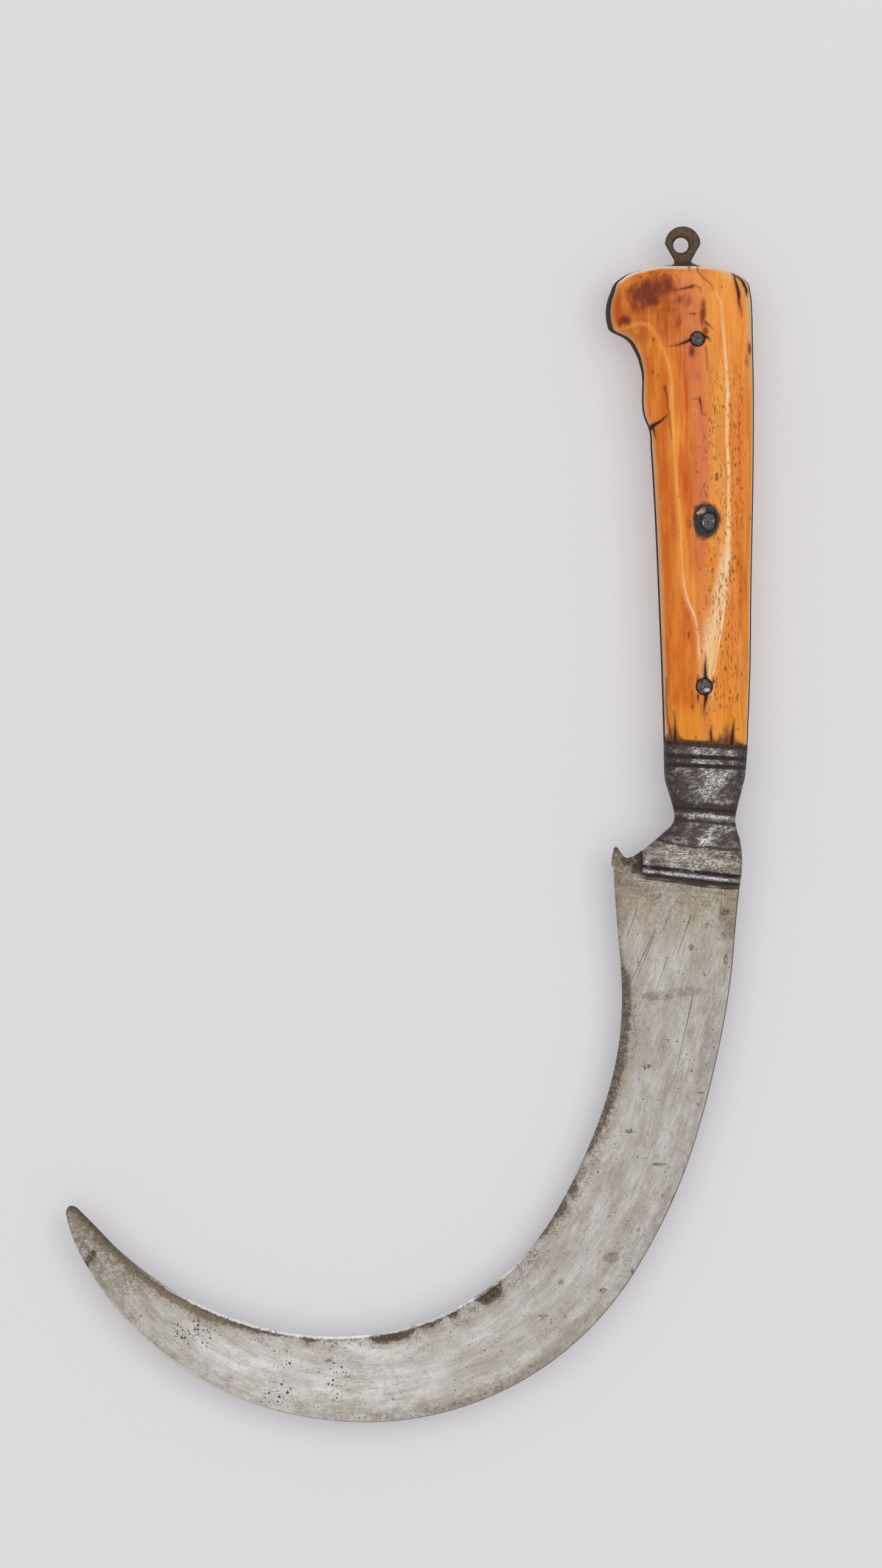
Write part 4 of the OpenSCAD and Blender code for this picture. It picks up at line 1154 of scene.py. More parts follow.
bolster_front = skin("bolster_front_iron", half_bolster)
bolster_back = skin("bolster_back_iron", mirrored(half_bolster))
for seed, piece in enumerate((bolster_front, bolster_back)):
    weather_bolster(piece, 11 + seed)
    piece.data.materials.append(iron)

# %% [markdown]
# ## The ivory scales
# A scale is sawn from a tusk, fitted to the tang and rounded over. Its rings run across the grip,
# with a short upright wall, then a crown. The lowest rings slope with the joint. The pommel's end
# falls away in a quarter round.

# %% Rings of a scale
SCALE_Z, WALL, SCALE_T = 2.0, 1.1, 5.5
REVEAL = [(0, 0.35), (GRIP - 31, 0.35), (GRIP - 17, 1.15), (GRIP - 8, 1.15), (GRIP, 0.35)]
SCALE_END = GRIP - 0.275


def scale_sides(y):
    """Where the ivory ends in front and at the back, at a height on the grip."""
    return -smooth(FRONT, y) + straight(REVEAL, y), smooth(BACK, y) - 0.35


fine = np.linspace(0, SCALE_END, 6000)
front_x, back_x = scale_sides(fine)
front_slope, back_slope = np.abs(np.gradient(front_x, fine)), np.abs(np.gradient(back_x, fine))
pace = np.sqrt(1 + np.maximum(front_slope, back_slope) ** 2)
walked = np.concatenate([[0], np.cumsum((pace[1:] + pace[:-1]) / 2 * np.diff(fine))])
scale_ys = np.interp(np.linspace(0, walked[-1], 560), walked, fine)


def scale_ring(y, count=160):
    """The scale's section: an upright wall, a crown over it and a flat underside."""
    slope = TILT * float(1 - ease(y / 24))
    front, back = (float(v) for v in scale_sides(y))
    for _ in range(4):
        front = float(scale_sides(y - front * slope)[0])
        back = float(scale_sides(y - back * slope)[1])
    fall = math.sqrt(max(0.0, 1 - min(max((y - GRIP + 3.175) / 3, 0), 1) ** 2))
    x, z = flattened((back - front) / 2, (SCALE_T - WALL) * fall, 2.7, np.linspace(0, np.pi, 361))
    line = np.stack([(back + front) / 2 + x, SCALE_Z + WALL + z], axis=1)
    line = evened(np.vstack([[back, SCALE_Z], line, [front, SCALE_Z]]), count)
    line = np.vstack([line, [[front + (back - front) * k, SCALE_Z] for k in (0.25, 0.5, 0.75)]])
    return [(px, y - px * slope, pz) for px, pz in line]


scale_rings = [scale_ring(y) for y in scale_ys]
print(len(scale_rings), "rings of", len(scale_rings[0]), "points")

# %% [markdown]
# ## Lines and cracks of the ivory
# The tusk's nerve canal ran through the scale, so its layers show as two pale contour lines that
# close towards the joint like a long tongue. Age has opened cracks round the rivets, at both ends
# and at the step. Each crack is a stroke of (across, up, width) in millimetres. It is carved into
# the surface and darkened. Here are the strokes as they lie on the front scale.

# %% Strokes on the front scale
LEFT_LINE = [(-2.8, -1.92), (24.4, -1.92), (29.7, -2.4), (34.3, -3.2), (37.2, -4.54), (41.4, -5.6),
             (44.6, -6.08), (50.8, -6.46), (59.6, -6.88), (71.1, -8.0), (86.5, -8.8), (93.0, -9.0),
             (98.0, -9.4), (102.0, -10.5), (105.5, -12.2), (108.6, -14.2), (113.0, -15.5),
             (127.0, -17.0)]
ARCH = ((-24.6, 108.2, 0.6), (-20.5, 109.5, 0.75), (-17.4, 110.3, 0.8), (-15.3, 109.9, 0.75),
        (-14.0, 108.4, 0.6), (-13.1, 106.8, 0.4))
RIGHT_LINE = [(-2.8, 1.76), (19.6, 2.08), (25.2, 3.04), (32.4, 4.16), (37.2, 4.8), (43.1, 5.12),
              (46.8, 5.44), (55.9, 5.76), (71.1, 5.92), (81.4, 5.44), (93.2, 5.6), (101.2, 5.12),
              (108.9, 4.32), (118.6, 2.4), (122.8, -1.44), (126.8, -4.32)]
CRACKS = [((-9.7, 104.3, 0.06), (-7.4, 104.6, 0.25), (-4.4, 105.8, 0.6)),
          ((-0.5, 106.9, 0.6), (0.5, 106.5, 0.35), (1.1, 105.7, 0.05)),
          ((-7.9, 118.9, 0.1), (-5.7, 119.4, 0.3), (-3.8, 119.9, 0.3)),
          ((-3.3, 120.2, 0.1), (-1.6, 119.5, 0.12), (-1.4, 118.6, 0.05)),
          ((-4.4, 112.8, 0.15), (-3.2, 112.7, 0.3)), ((-0.2, 110.6, 0.35), (1.6, 108.8, 0.06)),
          ((0.0, 104.2, 0.12), (0.2, 98.3, 0.08)),
          ((7.2, 123.2, 0.3), (7.8, 121.2, 0.4), (8.5, 118.0, 0.6), (8.6, 116.2, 0.35),
           (9.4, 112.1, 0.06)),
          ((6.9, 123.4, 0.2), (9.0, 122.0, 0.4), (9.8, 121.0, 0.6), (10.5, 119.2, 0.5),
           (10.7, 117.6, 0.15)), ((-4.5, 125.4, 0.2), (-4.4, 124.1, 0.08)),
          ((-2.2, 125.2, 0.2), (-2.1, 123.9, 0.12), (-0.5, 121.9, 0.14), (1.0, 120.6, 0.1),
           (2.0, 118.8, 0.05)),
          ((-10.8, 93.6, 0.25), (-10.4, 91.0, 0.18), (-9.8, 86.6, 0.14), (-9.3, 82.7, 0.09),
           (-9.1, 80.0, 0.03)), ((-9.8, 86.6, 0.12), (-11.6, 84.9, 0.4), (-14.6, 82.9, 0.9)),
          ((-13.9, 83.3, 0.5), (-13.3, 80.2, 0.1)), ((-3.6, 90.4, 0.1), (-1.8, 90.6, 0.14)),
          ((-1.8, 90.5, 0.3), (-1.5, 89.6, 0.3), (-1.3, 86.6, 0.08)),
          ((-0.2, 23.8, 0.05), (-0.2, 20.4, 0.35), (-0.2, 17.0, 0.75)),
          ((-0.1, 12.9, 0.8), (-0.5, 10.1, 0.35), (-0.6, 7.5, 0.06)),
          ((-2.2, 18.0, 0.1), (-2.2, 16.6, 0.35)), ((-2.1, 12.7, 0.4), (-2.1, 11.0, 0.1)),
          ((1.8, 17.7, 0.08), (1.8, 16.1, 0.4)),
          ((-8.4, 8.5, 0.1), (-8.2, 4.3, 0.28), (-8.1, 0.6, 0.6)),
          ((-10.4, 17.3, 0.06), (-10.4, 11.3, 0.14), (-10.0, 6.3, 0.18), (-9.2, 1.4, 0.3)),
          ((1.2, 4.9, 0.06), (1.2, 2.5, 0.4), (1.4, 0.2, 0.3)),
          ((-2.8, 2.0, 0.06), (-2.8, 0.7, 0.14)),
          ((7.4, 6.5, 0.06), (7.0, 4.3, 0.36), (6.7, 0.0, 0.8))]
print(len(CRACKS), "cracks on the front scale")

# %% [markdown]
# ## Stains and specks
# Oil and dirt have browned the ivory in places: the swell of the pommel, the beak, the skin round
# the rivets and the joint. Small dark specks are open pores. Each stain is an oval of (across, up,
# half width, half height, strength). Ovals of less than half a millimetre are single specks.

# %% Stains on the front scale
STAINS = [(-15.6, 118.0, 4.4, 4.0, 1), (-10.9, 120.0, 3.4, 2.6, 0.9), (-18.6, 114.9, 1.8, 2.2, 0.7),
          (-21.5, 110.9, 1.7, 1.5, 0.9), (-17.3, 106.4, 2.0, 2.0, 0.35),
          (-0.9, 112.8, 1.0, 3.2, 0.75), (-0.2, 108.4, 0.8, 1.8, 0.7),
          (-5.9, 116.4, 2.2, 1.8, 0.55), (-7.2, 110.6, 1.0, 2.6, 0.6),
          (-3.6, 102.8, 0.9, 1.9, 0.85), (-10.5, 114.6, 4.0, 4.5, 0.4),
          (11.4, 103.9, 0.7, 1.8, 0.6), (10.9, 100.6, 0.7, 1.6, 0.5), (-4.5, 58.3, 0.9, 1.9, 0.55),
          (-4.5, 28.5, 0.42, 1.1, 0.7), (-4.3, 21.0, 0.4, 0.6, 0.35), (4.6, 12.9, 0.4, 0.9, 0.55),
          (5.1, 19.8, 0.35, 0.8, 0.65)]
SPECKS = [(-13.8, 106.0, 0.3, 0.4), (-14.0, 97.4, 0.3, 0.5), (-12.7, 96.6, 0.2, 0.5),
          (-10.7, 93.5, 0.3, 0.3), (-17.0, 122.3, 0.3, 0.25), (-13.8, 122.2, 0.35, 0.25),
          (-11.1, 123.1, 0.35, 0.3), (-8.1, 122.8, 0.25, 0.2), (-3.8, 120.0, 0.55, 0.5),
          (10.6, 118.8, 0.4, 0.5), (-0.4, 86.4, 0.35, 0.35), (2.7, 70.0, 0.45, 1.2),
          (-2.4, 71.4, 0.25, 0.35), (4.4, 88.4, 0.3, 0.35), (2.2, 88.2, 0.25, 0.6),
          (9.3, 67.1, 0.3, 0.2), (11.5, 59.2, 0.2, 0.5), (-7.5, 64.8, 0.35, 0.12),
          (-8.5, 54.6, 0.15, 0.35), (-1.5, 46.0, 0.2, 0.4), (7.1, 45.2, 0.3, 0.65),
          (8.3, 47.3, 0.22, 0.6), (7.4, 43.2, 0.2, 0.45), (9.0, 40.3, 0.2, 0.35),
          (6.0, 28.3, 0.22, 0.55), (-2.2, 30.0, 0.22, 0.3), (-1.9, 34.2, 0.2, 0.3),
          (1.8, 37.1, 0.2, 0.55), (5.3, 37.1, 0.18, 0.5), (-1.1, 24.2, 0.2, 0.4),
          (-3.7, 9.9, 0.3, 0.7), (0.2, 7.9, 0.25, 0.45), (6.7, 22.4, 0.17, 0.85),
          (7.8, 20.0, 0.25, 0.6), (9.4, 18.3, 0.2, 0.5), (3.8, 10.1, 0.2, 0.55),
          (6.2, 13.9, 0.17, 0.6), (8.3, 12.3, 0.2, 1.1), (8.4, 3.8, 0.15, 0.45),
          (7.8, 3.8, 0.12, 0.35)]
print(len(STAINS), "stains and", len(SPECKS), "specks")

# %% [markdown]
# ## Carving and marking a scale
# `cover_of` says how strongly a point is covered by a crack. The same cover lowers the surface,
# so a wide crack is a real groove, and is stored for the finish. The worn recess round the middle
# rivet and the seats of the two small rivets are sunk in the same way.

# %% Carving a scale and storing its marks
HAIRLINE, SEAT_DEPTH, RECESS_DEPTH = 0.34, 1.35, 2.1
RECESS = (-0.15, 58.5, 3.05, 4.0)


def cover_of(x, y, strokes, least=HAIRLINE):
    """How strongly strokes cover each point, how wide they are, and how far inside it lies."""
    cover, width, margin = np.zeros_like(x), np.zeros_like(x), np.full_like(x, -3.0)
    for stroke in strokes:
        for (ax, ay, aw), (bx, by, bw) in zip(stroke, stroke[1:]):
            run_x, run_y = bx - ax, by - ay
            part = np.clip(((x - ax) * run_x + (y - ay) * run_y) / (run_x**2 + run_y**2), 0, 1)
            gap = np.hypot(x - ax - run_x * part, y - ay - run_y * part)
            full = aw + (bw - aw) * part
            shown = np.maximum(full, least)
            margin = np.maximum(margin, full * 0.62 - gap - 0.11 * (1 - ease(full / HAIRLINE)))
            here = (1 - ease((gap / shown - 0.15) / 0.7)) * np.minimum(1, 0.3 + full / least * 0.7)
            width = np.where(here > cover, full, width)
            cover = np.maximum(cover, here)
    return cover, width, margin


def oval_cover(x, y, ovals, soft=0.5):
    """How strongly ovals cover each point."""
    cover = np.zeros_like(x)
    for cx, cy, rx, ry, *strength in ovals:
        near = np.hypot((x - cx) / rx, (y - cy) / ry)
        inside = 1 - ease((near - 1 + soft) / (2 * soft))
        cover = np.maximum(cover, (strength[0] if strength else 0.85) * inside)
    return cover


def outline_distance(points, sides):
    """Distance of each point from the scale's outline, seen from above."""
    nearest = kdtree.KDTree(len(sides))
    for i, (px, py) in enumerate(sides):
        nearest.insert((px, py, 0), i)
    nearest.balance()
    return np.array([nearest.find((px, py, 0))[2] for px, py in points[:, :2]])


edge_x = [scale_sides(y) for y in scale_ys]
scale_outline = [(f, y) for (f, b), y in zip(edge_x, scale_ys)]
scale_outline += [(b, y) for (f, b), y in zip(edge_x, scale_ys)]
scale_outline += [(px, SCALE_END) for px in np.linspace(*map(float, edge_x[-1]), 40)]


def recess_bend(x, y):
    """How far the worn recess strays from an oval, in each direction."""
    angle = np.arctan2(y, x)
    return 1 + 0.05 * np.cos(angle - 1.05) + 0.04 * np.cos(3 * angle - 0.42)


def carve_scale(piece, cracks, stains, specks, left_line, right_line, recess, seats, seed, arch=None):
    """Sinks seats, recess and cracks into a scale, and stores what its finish reads."""
    points = points_of(piece)
    x, y, z = points.T
    side = np.sign(z)
    wavy_x = x + 0.13 * grain(x, y, 1.7, seed) + 0.04 * grain(x, y, 0.6, seed + 7)
    wavy_y = y + 0.13 * grain(x, y, 1.9, seed + 1)
    crack, width, margin = cover_of(wavy_x, wavy_y, cracks)
    depth = crack * crack * np.clip(width * 0.9 - 0.15, 0.0, 0.5)
    for cx, cy, radius in seats:
        gap = np.hypot(x - cx, y - cy)
        depth = np.maximum(depth, SEAT_DEPTH * (1 - ease((gap - radius) / 0.2)))
        depth = np.maximum(depth, 0.1 * (1 - ease((gap - radius - 0.1) / 0.8)))
    if recess:
        cx, cy, rx, ry = recess
        bent = (1 + 0.05 * grain(x * 1.3, y * 1.3, 1.5, seed + 2)) / recess_bend(x - cx, y - cy)
        inside = (np.abs((x - cx) / rx) ** 2.4 + np.abs((y - cy) / ry) ** 2.4) ** (1 / 2.4) * bent
        depth = np.maximum(depth, RECESS_DEPTH * (1 - ease((inside - 0.9) / 0.17)))
        depth = np.maximum(depth, 0.26 * (1 - ease((inside - 1.0) / 0.28)))
    depth = depth + 0.05 * (1 + grain(x, y, 7.0, seed + 3))
    high_up = ease((np.abs(z) - 2.4) / 1.6)
    points[:, 2] -= side * depth * high_up
    move_points(piece, points)

    left, right = smooth(left_line, y), smooth(right_line, y)
    bend = 0.12 * grain(x * 0.3, y, 6.0, seed + 4) + 0.05 * grain(x * 0.5, y, 1.6, seed + 12)
    from_left, from_right = x - left + bend, x - right + bend
    strength_left = smooth([(-3, 0), (8, 0), (16, 0.1), (22, 0.5), (34, 1), (45, 0.9), (60, 0.75),
                            (80, 0.8), (95, 0.7), (104, 0.55), (108, 0.2), (110, 0), (127, 0)], y)
    strength_right = smooth([(-3, 0), (8, 0), (17, 0.5), (24, 0.8), (32, 0.9), (45, 1), (90, 1),
                             (100, 0.8), (110, 0.6), (118, 0.4), (126, 0.1)], y)
    half_right = smooth([(0, 0.3), (36, 0.4), (43, 0.75), (50, 0.75), (58, 0.5), (90, 0.45),
                         (120, 0.35)], y)
    thin, glow_by = np.abs(from_left), np.where(from_left < 0, 1.6, 0.8)
    halo_left = 0.4 * (1 - ease(thin / glow_by))
    on_left = strength_left * np.maximum(1 - ease((thin - 0.05) / 0.3), halo_left)
    on_right = (np.abs(from_right) - half_right * 0.3) / (half_right * 1.3)
    line = np.maximum(on_left, strength_right * (1 - ease(on_right)))
    if arch:
        line = np.maximum(line, 0.45 * cover_of(x, y, [arch], 1.1)[0])
    line = line * (0.82 + 0.3 * grain(x * 0.6, y * 0.3, 1.2, seed + 9))
    rim = outline_distance(points, scale_outline)
    halo = np.zeros_like(x)
    for cx, cy, radius in seats:
        gap = np.hypot(x - cx, y - cy) - radius + 0.1
        halo = np.maximum(halo, 0.8 * (1 - ease(gap / (0.7 + 0.4 * grain(x, y, 1.2, seed + 6)))))
    if recess:
        halo = np.maximum(halo, 1 - ease((inside - 0.97 + 0.1 * grain(x, y, 0.8, seed + 6)) / 0.46))
    from_joint = y + x * TILT + 0.15 * grain(x, y, 1.3, seed + 5)
    smear = sum(amount * np.exp(-((x - middle) / half) ** 2)
                for amount, middle, half in ((6.2, 5.6, 2.4), (4.6, -8.6, 1.8), (2.0, 1.4, 0.9)))
    smear = smear * (1 + 0.5 * grain(x, y * 0.4, 0.8, seed + 14))
    smudge = ease((from_joint - 0.3) / (1.0 + np.maximum(smear, 0)))
    joint = np.maximum(1 - ease((from_joint - 0.5) / 0.4), 0.95 * (1 - smudge))
    low_edge = 1 - ease((np.abs(z) - 2.05) / 0.5)
    marks_made = {"between": np.clip((x - left) / (right - left), -0.2, 1.2),
                  "from_left": from_left, "from_right": from_right, "line": line, "crack": margin,
                  "rim": rim, "stain": oval_cover(wavy_x, wavy_y, stains, 0.9),
                  "speck": oval_cover(wavy_x, wavy_y, specks, 0.4),
                  "grime": np.maximum.reduce([halo * 0.9, joint, low_edge])}
    for name, values in marks_made.items():
        store(piece, name, values)


def store_zones(piece, pink, cream):
    """Stores the pink and the cream zone, each as (height, middle, half width, strength)."""
    x, y, z = points_of(piece).T
    for name, zone in {"pink": pink, "cream": cream}.items():
        at = np.array(zone, float)
        middle, half, strength = (np.interp(y, at[:, 0], at[:, k]) for k in (1, 2, 3))
        wander = 0.4 * grain(x, y * 0.3, 3.0, 5) + 0.25 * grain(x, y * 0.15, 0.9, 8)
        blur = np.abs(x - middle + wander) / half
        store(piece, name, strength * (1 - ease(blur / 1.6)))


scale_front = skin("scale_front_ivory", scale_rings)
carve_scale(scale_front, CRACKS, STAINS, SPECKS, LEFT_LINE, RIGHT_LINE, RECESS,
            ((*UPPER, 1.85), (*LOWER, 2.1)), 21, ARCH)
PINK = [(-2, -0.2, 1.2, 0.3), (5, -0.2, 1.2, 0.5), (12, -0.2, 1.2, 0.45), (18, -0.8, 1.2, 0.1),
        (35, -1.1, 1.1, 0.3), (52, -1.3, 1.8, 0.8), (71, -1.2, 2.2, 1), (84, -1.5, 2.1, 1),
        (100, -2.6, 2.4, 0.9), (119, -4.8, 4.0, 0.75), (125, -4.8, 4.0, 0.3)]
CREAM = [(13, 0.5, 1.2, 0), (17, 0.5, 1.6, 0.6), (22, 0.8, 1.9, 0.9), (28, 1.2, 2.2, 1),
         (32, 1.9, 2.2, 0.95), (36, 3.0, 2.2, 0.85), (40, 3.6, 2.0, 0.85), (45, 4.4, 1.6, 0.8),
         (51, 5.0, 1.1, 0.4), (58, 5.3, 0.8, 0)]
store_zones(scale_front, PINK, CREAM)

# %% [markdown]
# The back scale is not seen in the photograph. It gets its own cracks and stains of the same kind,
# so that it looks as old as the front without being its twin.

# %% Strokes on the back scale
BACK_CRACKS = [((-2.3, 108.4, 0.6), (-2.0, 111.2, 0.3), (-2.2, 114.8, 0.05)),
               ((-2.4, 103.8, 0.5), (-2.9, 99.0, 0.15), (-3.0, 94.5, 0.05)),
               ((0.8, 61.0, 0.5), (1.1, 66.0, 0.2), (0.9, 71.5, 0.05)),
               ((-0.4, 12.6, 0.6), (-0.1, 8.0, 0.25), (-0.3, 4.0, 0.05)),
               ((5.9, 0.0, 0.9), (6.0, 4.2, 0.4), (6.4, 9.5, 0.06)),
               ((-6.6, 0.2, 0.7), (-6.4, 3.6, 0.3), (-6.2, 6.9, 0.05)),
               ((-11.2, 92.0, 0.1), (-10.6, 84.0, 0.2), (-10.2, 74.0, 0.05)),
               ((8.6, 118.9, 0.2), (8.0, 111.0, 0.15), (8.3, 103.0, 0.05))]
BACK_STAINS = [(-14.2, 117.0, 3.0, 4.2, 0.6), (-19.6, 112.2, 1.6, 1.8, 0.6),
               (0.9, 54.5, 1.1, 2.2, 0.5), (6.5, 99.0, 1.0, 2.6, 0.4), (-5.2, 33.0, 0.8, 2.4, 0.4),
               (2.0, 21.0, 0.7, 1.6, 0.5)]
scale_back = skin("scale_back_ivory", mirrored(scale_rings))
BACK_SPECKS = [(px * 0.7 - 1.5, py * 0.96 + 3, rx, ry) for px, py, rx, ry in SPECKS[10:]]
carve_scale(scale_back, BACK_CRACKS, BACK_STAINS, BACK_SPECKS,
            [(py, px * 0.8 - 1.2) for py, px in LEFT_LINE],
            [(py, px * 0.9 + 0.8) for py, px in RIGHT_LINE], None,
            ((*UPPER, 1.85), (*MIDDLE, 2.0), (*LOWER, 2.1)), 47)
BACK_PINK = [(-2, 0, 1, 0), (40, -1.0, 1.5, 0.3), (75, -1.6, 2.0, 0.6), (110, -3.0, 2.6, 0.6),
             (125, -4, 3, 0.2)]
BACK_CREAM = [(10, 0.5, 1.2, 0), (24, 0.8, 1.6, 0.7), (40, 2.2, 1.4, 0.6), (52, 3.4, 1, 0)]
store_zones(scale_back, BACK_PINK, BACK_CREAM)

# %% [markdown]
# ## Finish of the ivory
# Old ivory drinks in oil and dye. This one has gone from cream to orange: darker and redder
# outside the left contour line and just inside it, pink down the middle, golden to the right and
# near the joint, pale at the contour lines and at the rim, where the skin is worn thin. A thin
# painted highlight lies along the pommel's top edge. The colours are laid from the stored values,
# one zone after another, with soft borders.

# %% Stained ivory: its zones
ivory, shader, spot = new_finish("stained_ivory", 0.3)
shader.inputs["Specular IOR Level"].default_value = 0.15
between, from_left, from_right, line, crack, rim, stain, speck, grime, pink, cream = stored(
    "between", "from_left", "from_right", "line", "crack", "rim", "stain", "speck", "grime", "pink",
    "cream")
by_height = functools.partial(spread, axis(spot, "Y"))
by_side = functools.partial(spread, axis(spot, "X"))
by_left_line = functools.partial(spread, from_left)
by_right_line = functools.partial(spread, from_right)
by_rim = functools.partial(spread, rim)
drift = noise(spot * (0.34, 0.06, 0.3), 1.0, 4.0)
drift = drift - 0.5
inner = ramp(between + drift * 0.35, [(0.0, srgb(236, 142, 40)), (0.09, srgb(218, 110, 20)),
                                      (0.2, srgb(194, 78, 12)), (0.38, srgb(206, 92, 18)),
                                      (0.52, srgb(230, 134, 44)), (0.88, srgb(236, 158, 72)),
                                      (1.0, srgb(232, 140, 50))])
outwards = from_left * -1 + drift * 5
outer_left = ramp(outwards / 10, [(0.0, srgb(226, 130, 34)), (0.2, srgb(208, 102, 22)),
                                  (0.5, srgb(212, 108, 28)), (0.8, srgb(226, 134, 44))])
outer_right = ramp((from_right + drift * 5) / 8,
                   [(0.0, srgb(230, 136, 42)), (0.35, srgb(222, 122, 36)),
                    (0.7, srgb(230, 136, 46)), (1.0, srgb(218, 138, 66))])
below_top = by_height(106, 98)
left_side = by_left_line(0.5, -0.9) * (0.35 + below_top * 0.65)
coat = Coat(mixed(left_side, inner, outer_left))
coat.mix(by_right_line(-0.5, 0.9), outer_right)
low_grip = by_height(26, 4) * patches(spot, Size=6.0, Cover=0.95, Softness=0.2)
coat.lay(low_grip, 0.85, 230, 150, 34)
red_left = by_height(46, 20) * by_left_line(0.2, -2.0)
coat.lay(red_left * by_height(7, 12), 0.85, 204, 94, 14)
high_right = by_height(84, 108) * by_right_line(-5, 0)
coat.lay(high_right, 0.75, 250, 162, 72)
high_left = by_height(90, 112) * by_left_line(6, -3)
coat.lay(high_left, 0.7, 216, 124, 42)
swarthy = by_height(122, 117) * by_height(103, 110) * by_side(-1, -8)
coat.lay(swarthy, 0.8, 174, 82, 20)
golden = by_height(52, 40) * by_height(6, 18) * by_left_line(-0.2, 1.2) * by_right_line(1, -1)
coat.lay(golden, 0.7, 240, 158, 62)
grown = spot * (1, 0.14, 1)
deep = patches(grown, Size=2.6, Cover=0.45, Softness=0.12)
coat.lay(deep, 0.4, 190, 78, 12)
sunny = patches(grown + (60, 0, 0), Size=2.6, Cover=0.42, Softness=0.12)
coat.lay(sunny, 0.42, 246, 164, 62)
fibres = streaks(spot, Scale=(2.0, 0.09, 1.0), Cover=0.5, Softness=0.2)
coat.lay(fibres * by_right_line(-3, 1, 0.6, 1), 0.26, 184, 76, 22)
fair = streaks(spot, Scale=(1.1, 0.05, 0.7), Cover=0.42, Softness=0.16)
coat.lay(fair * by_left_line(-2.5, 1, 0.3, 1), 0.26, 250, 180, 98)
coat.lay(pink, 0.78, 222, 124, 80)
coat.lay(pink * fibres, 0.28, 190, 92, 66)
milky = 0.72 + fair * 0.28
coat.lay(cream * milky, 0.95, 248, 214, 166)
line_tone = mixed(spread(between, 0.3, 0.7), srgb(248, 182, 98), srgb(250, 214, 166))
line_tone = mixed(by_height(48, 34), line_tone, srgb(254, 226, 184))
coat.mix(line * 0.9, line_tone)
band = by_side(4, -4, 0.85, 1.5) - drift * 1.5
worn_rim = by_rim(band, 0.15) * by_height(80, 100, 0.8, 0.45)
coat.lay(worn_rim, 0.85, 226, 176, 124)
grey_side = by_rim(2.2, 0.4) * by_side(6, 9) * by_height(92, 104) * by_height(124, 120)
coat.lay(grey_side, 0.7, 206, 176, 128)
# painted highlight: a thin pale line along the pommel's rounded top edge, where it would catch the
# light
painted_top_highlight = by_rim(1.1, 0.3) * by_height(119, 123) * by_side(6, -3, 0.4, 1)
coat.lay(painted_top_highlight, 0.9, 254, 238, 216)
corner = by_rim(3.2, 0.6) * by_height(117, 121.5) * by_side(1, 5)
coat.lay(corner, 0.5, 250, 206, 140)

# %% [markdown]
# Over the zones lie the marks. A stain has a cloudy border, as it crept along the fibres. Specks
# are open pores that filled with dirt. Grime sits in a ring round each rivet and on the joint, and
# a crack is nearly black and has no shine.

# %% Stained ivory: its marks
cloudy = noise(spot * (1.0, 0.6, 1), 0.55, 5.0, 0.65)
cloudy = cloudy - 0.5
crept = stain + cloudy * 1.5 * spread(stain, 0.02, 0.3)
coat.lay(spread(crept, 0.05, 0.7), 0.66, 160, 68, 20)
coat.lay(spread(crept, 0.35, 0.95), 0.88, 104, 42, 28)
smudged = patches(spot * (1, 0.4, 1), Size=1.8, Cover=0.3, Softness=0.14) * pink
coat.lay(smudged, 0.5, 150, 76, 70)
strewn = by_side(-2.5, 1.5) * by_side(11.5, 8.5) * by_height(106, 88) * by_height(3, 12)
strewn = strewn + pink * 0.35 * by_height(100, 90)
gathered = patches(spot * (1, 0.4, 1), Size=3.5, Cover=0.5, Softness=0.12)
share = strewn * (0.1 + gathered * 0.18)
short = patches(spot * (1, 0.3, 1), Size=0.42, Cover=share, Softness=0.08, Roughness=0.45)
long = patches(spot * (1, 0.22, 1), Size=0.62, Cover=share - 0.05, Softness=0.08, Roughness=0.5)
dashes = strongest(short, long) * spread(strewn, 0.02, 0.2)
pores = pits(spot * (1, 0.4, 1), Spacing=2.0, Share=0.3, Radius=0.12)
crumbs = patches(spot, Size=0.5, Cover=0.6, Softness=0.1)
specked = maths("MULTIPLY", speck, 0.45 + crumbs, clamp=True)
dashes = strongest(dashes, strongest(pores, specked))
coat.lay(dashes, 0.74, 94, 54, 34)
smut = patches(spot, Size=0.8, Cover=0.6, Softness=0.2)
dirt = grime * (0.7 + smut * 0.3)
coat.lay(spread(dirt, 0.05, 0.75), 0.78, 98, 60, 44)
coat.lay(spread(dirt, 0.62, 0.98), 0.85, 48, 36, 34)
frayed = noise(spot, 2.6, 3.0, 0.6)
inside_crack = crack + (frayed - 0.5) * 0.18
coat.lay(spread(inside_crack, -0.75, 0.05), 0.55, 140, 70, 32)
coat.lay(spread(inside_crack, -0.3, 0.15), 0.5, 92, 56, 44)
opened = spread(inside_crack, -0.1, 0.2)
coat.lay(opened, 0.9, 46, 34, 32)
dry = strongest(opened, spread(dirt, 0.4, 0.9))
rough = maths("ADD", 0.3, dry * 0.6 + dashes * 0.25, clamp=True)
height = fibres * 0.1 - (dashes + opened)
wire(shader, coat.colour, rough, None, height, 0.04)
for piece in (scale_front, scale_back):
    piece.data.materials.append(ivory)
print("ivory nodes:", len(ivory.node_tree.nodes))

# %% [markdown]
# ## Black lac
# Lac is a resin that was melted in to bed the scales on the tang and to fill the worn recess. It
# sets hard, black-brown and a little glossy, with a skin that crumbles in places. The two bedding
# sheets keep their exact CAD shape and only need this finish.

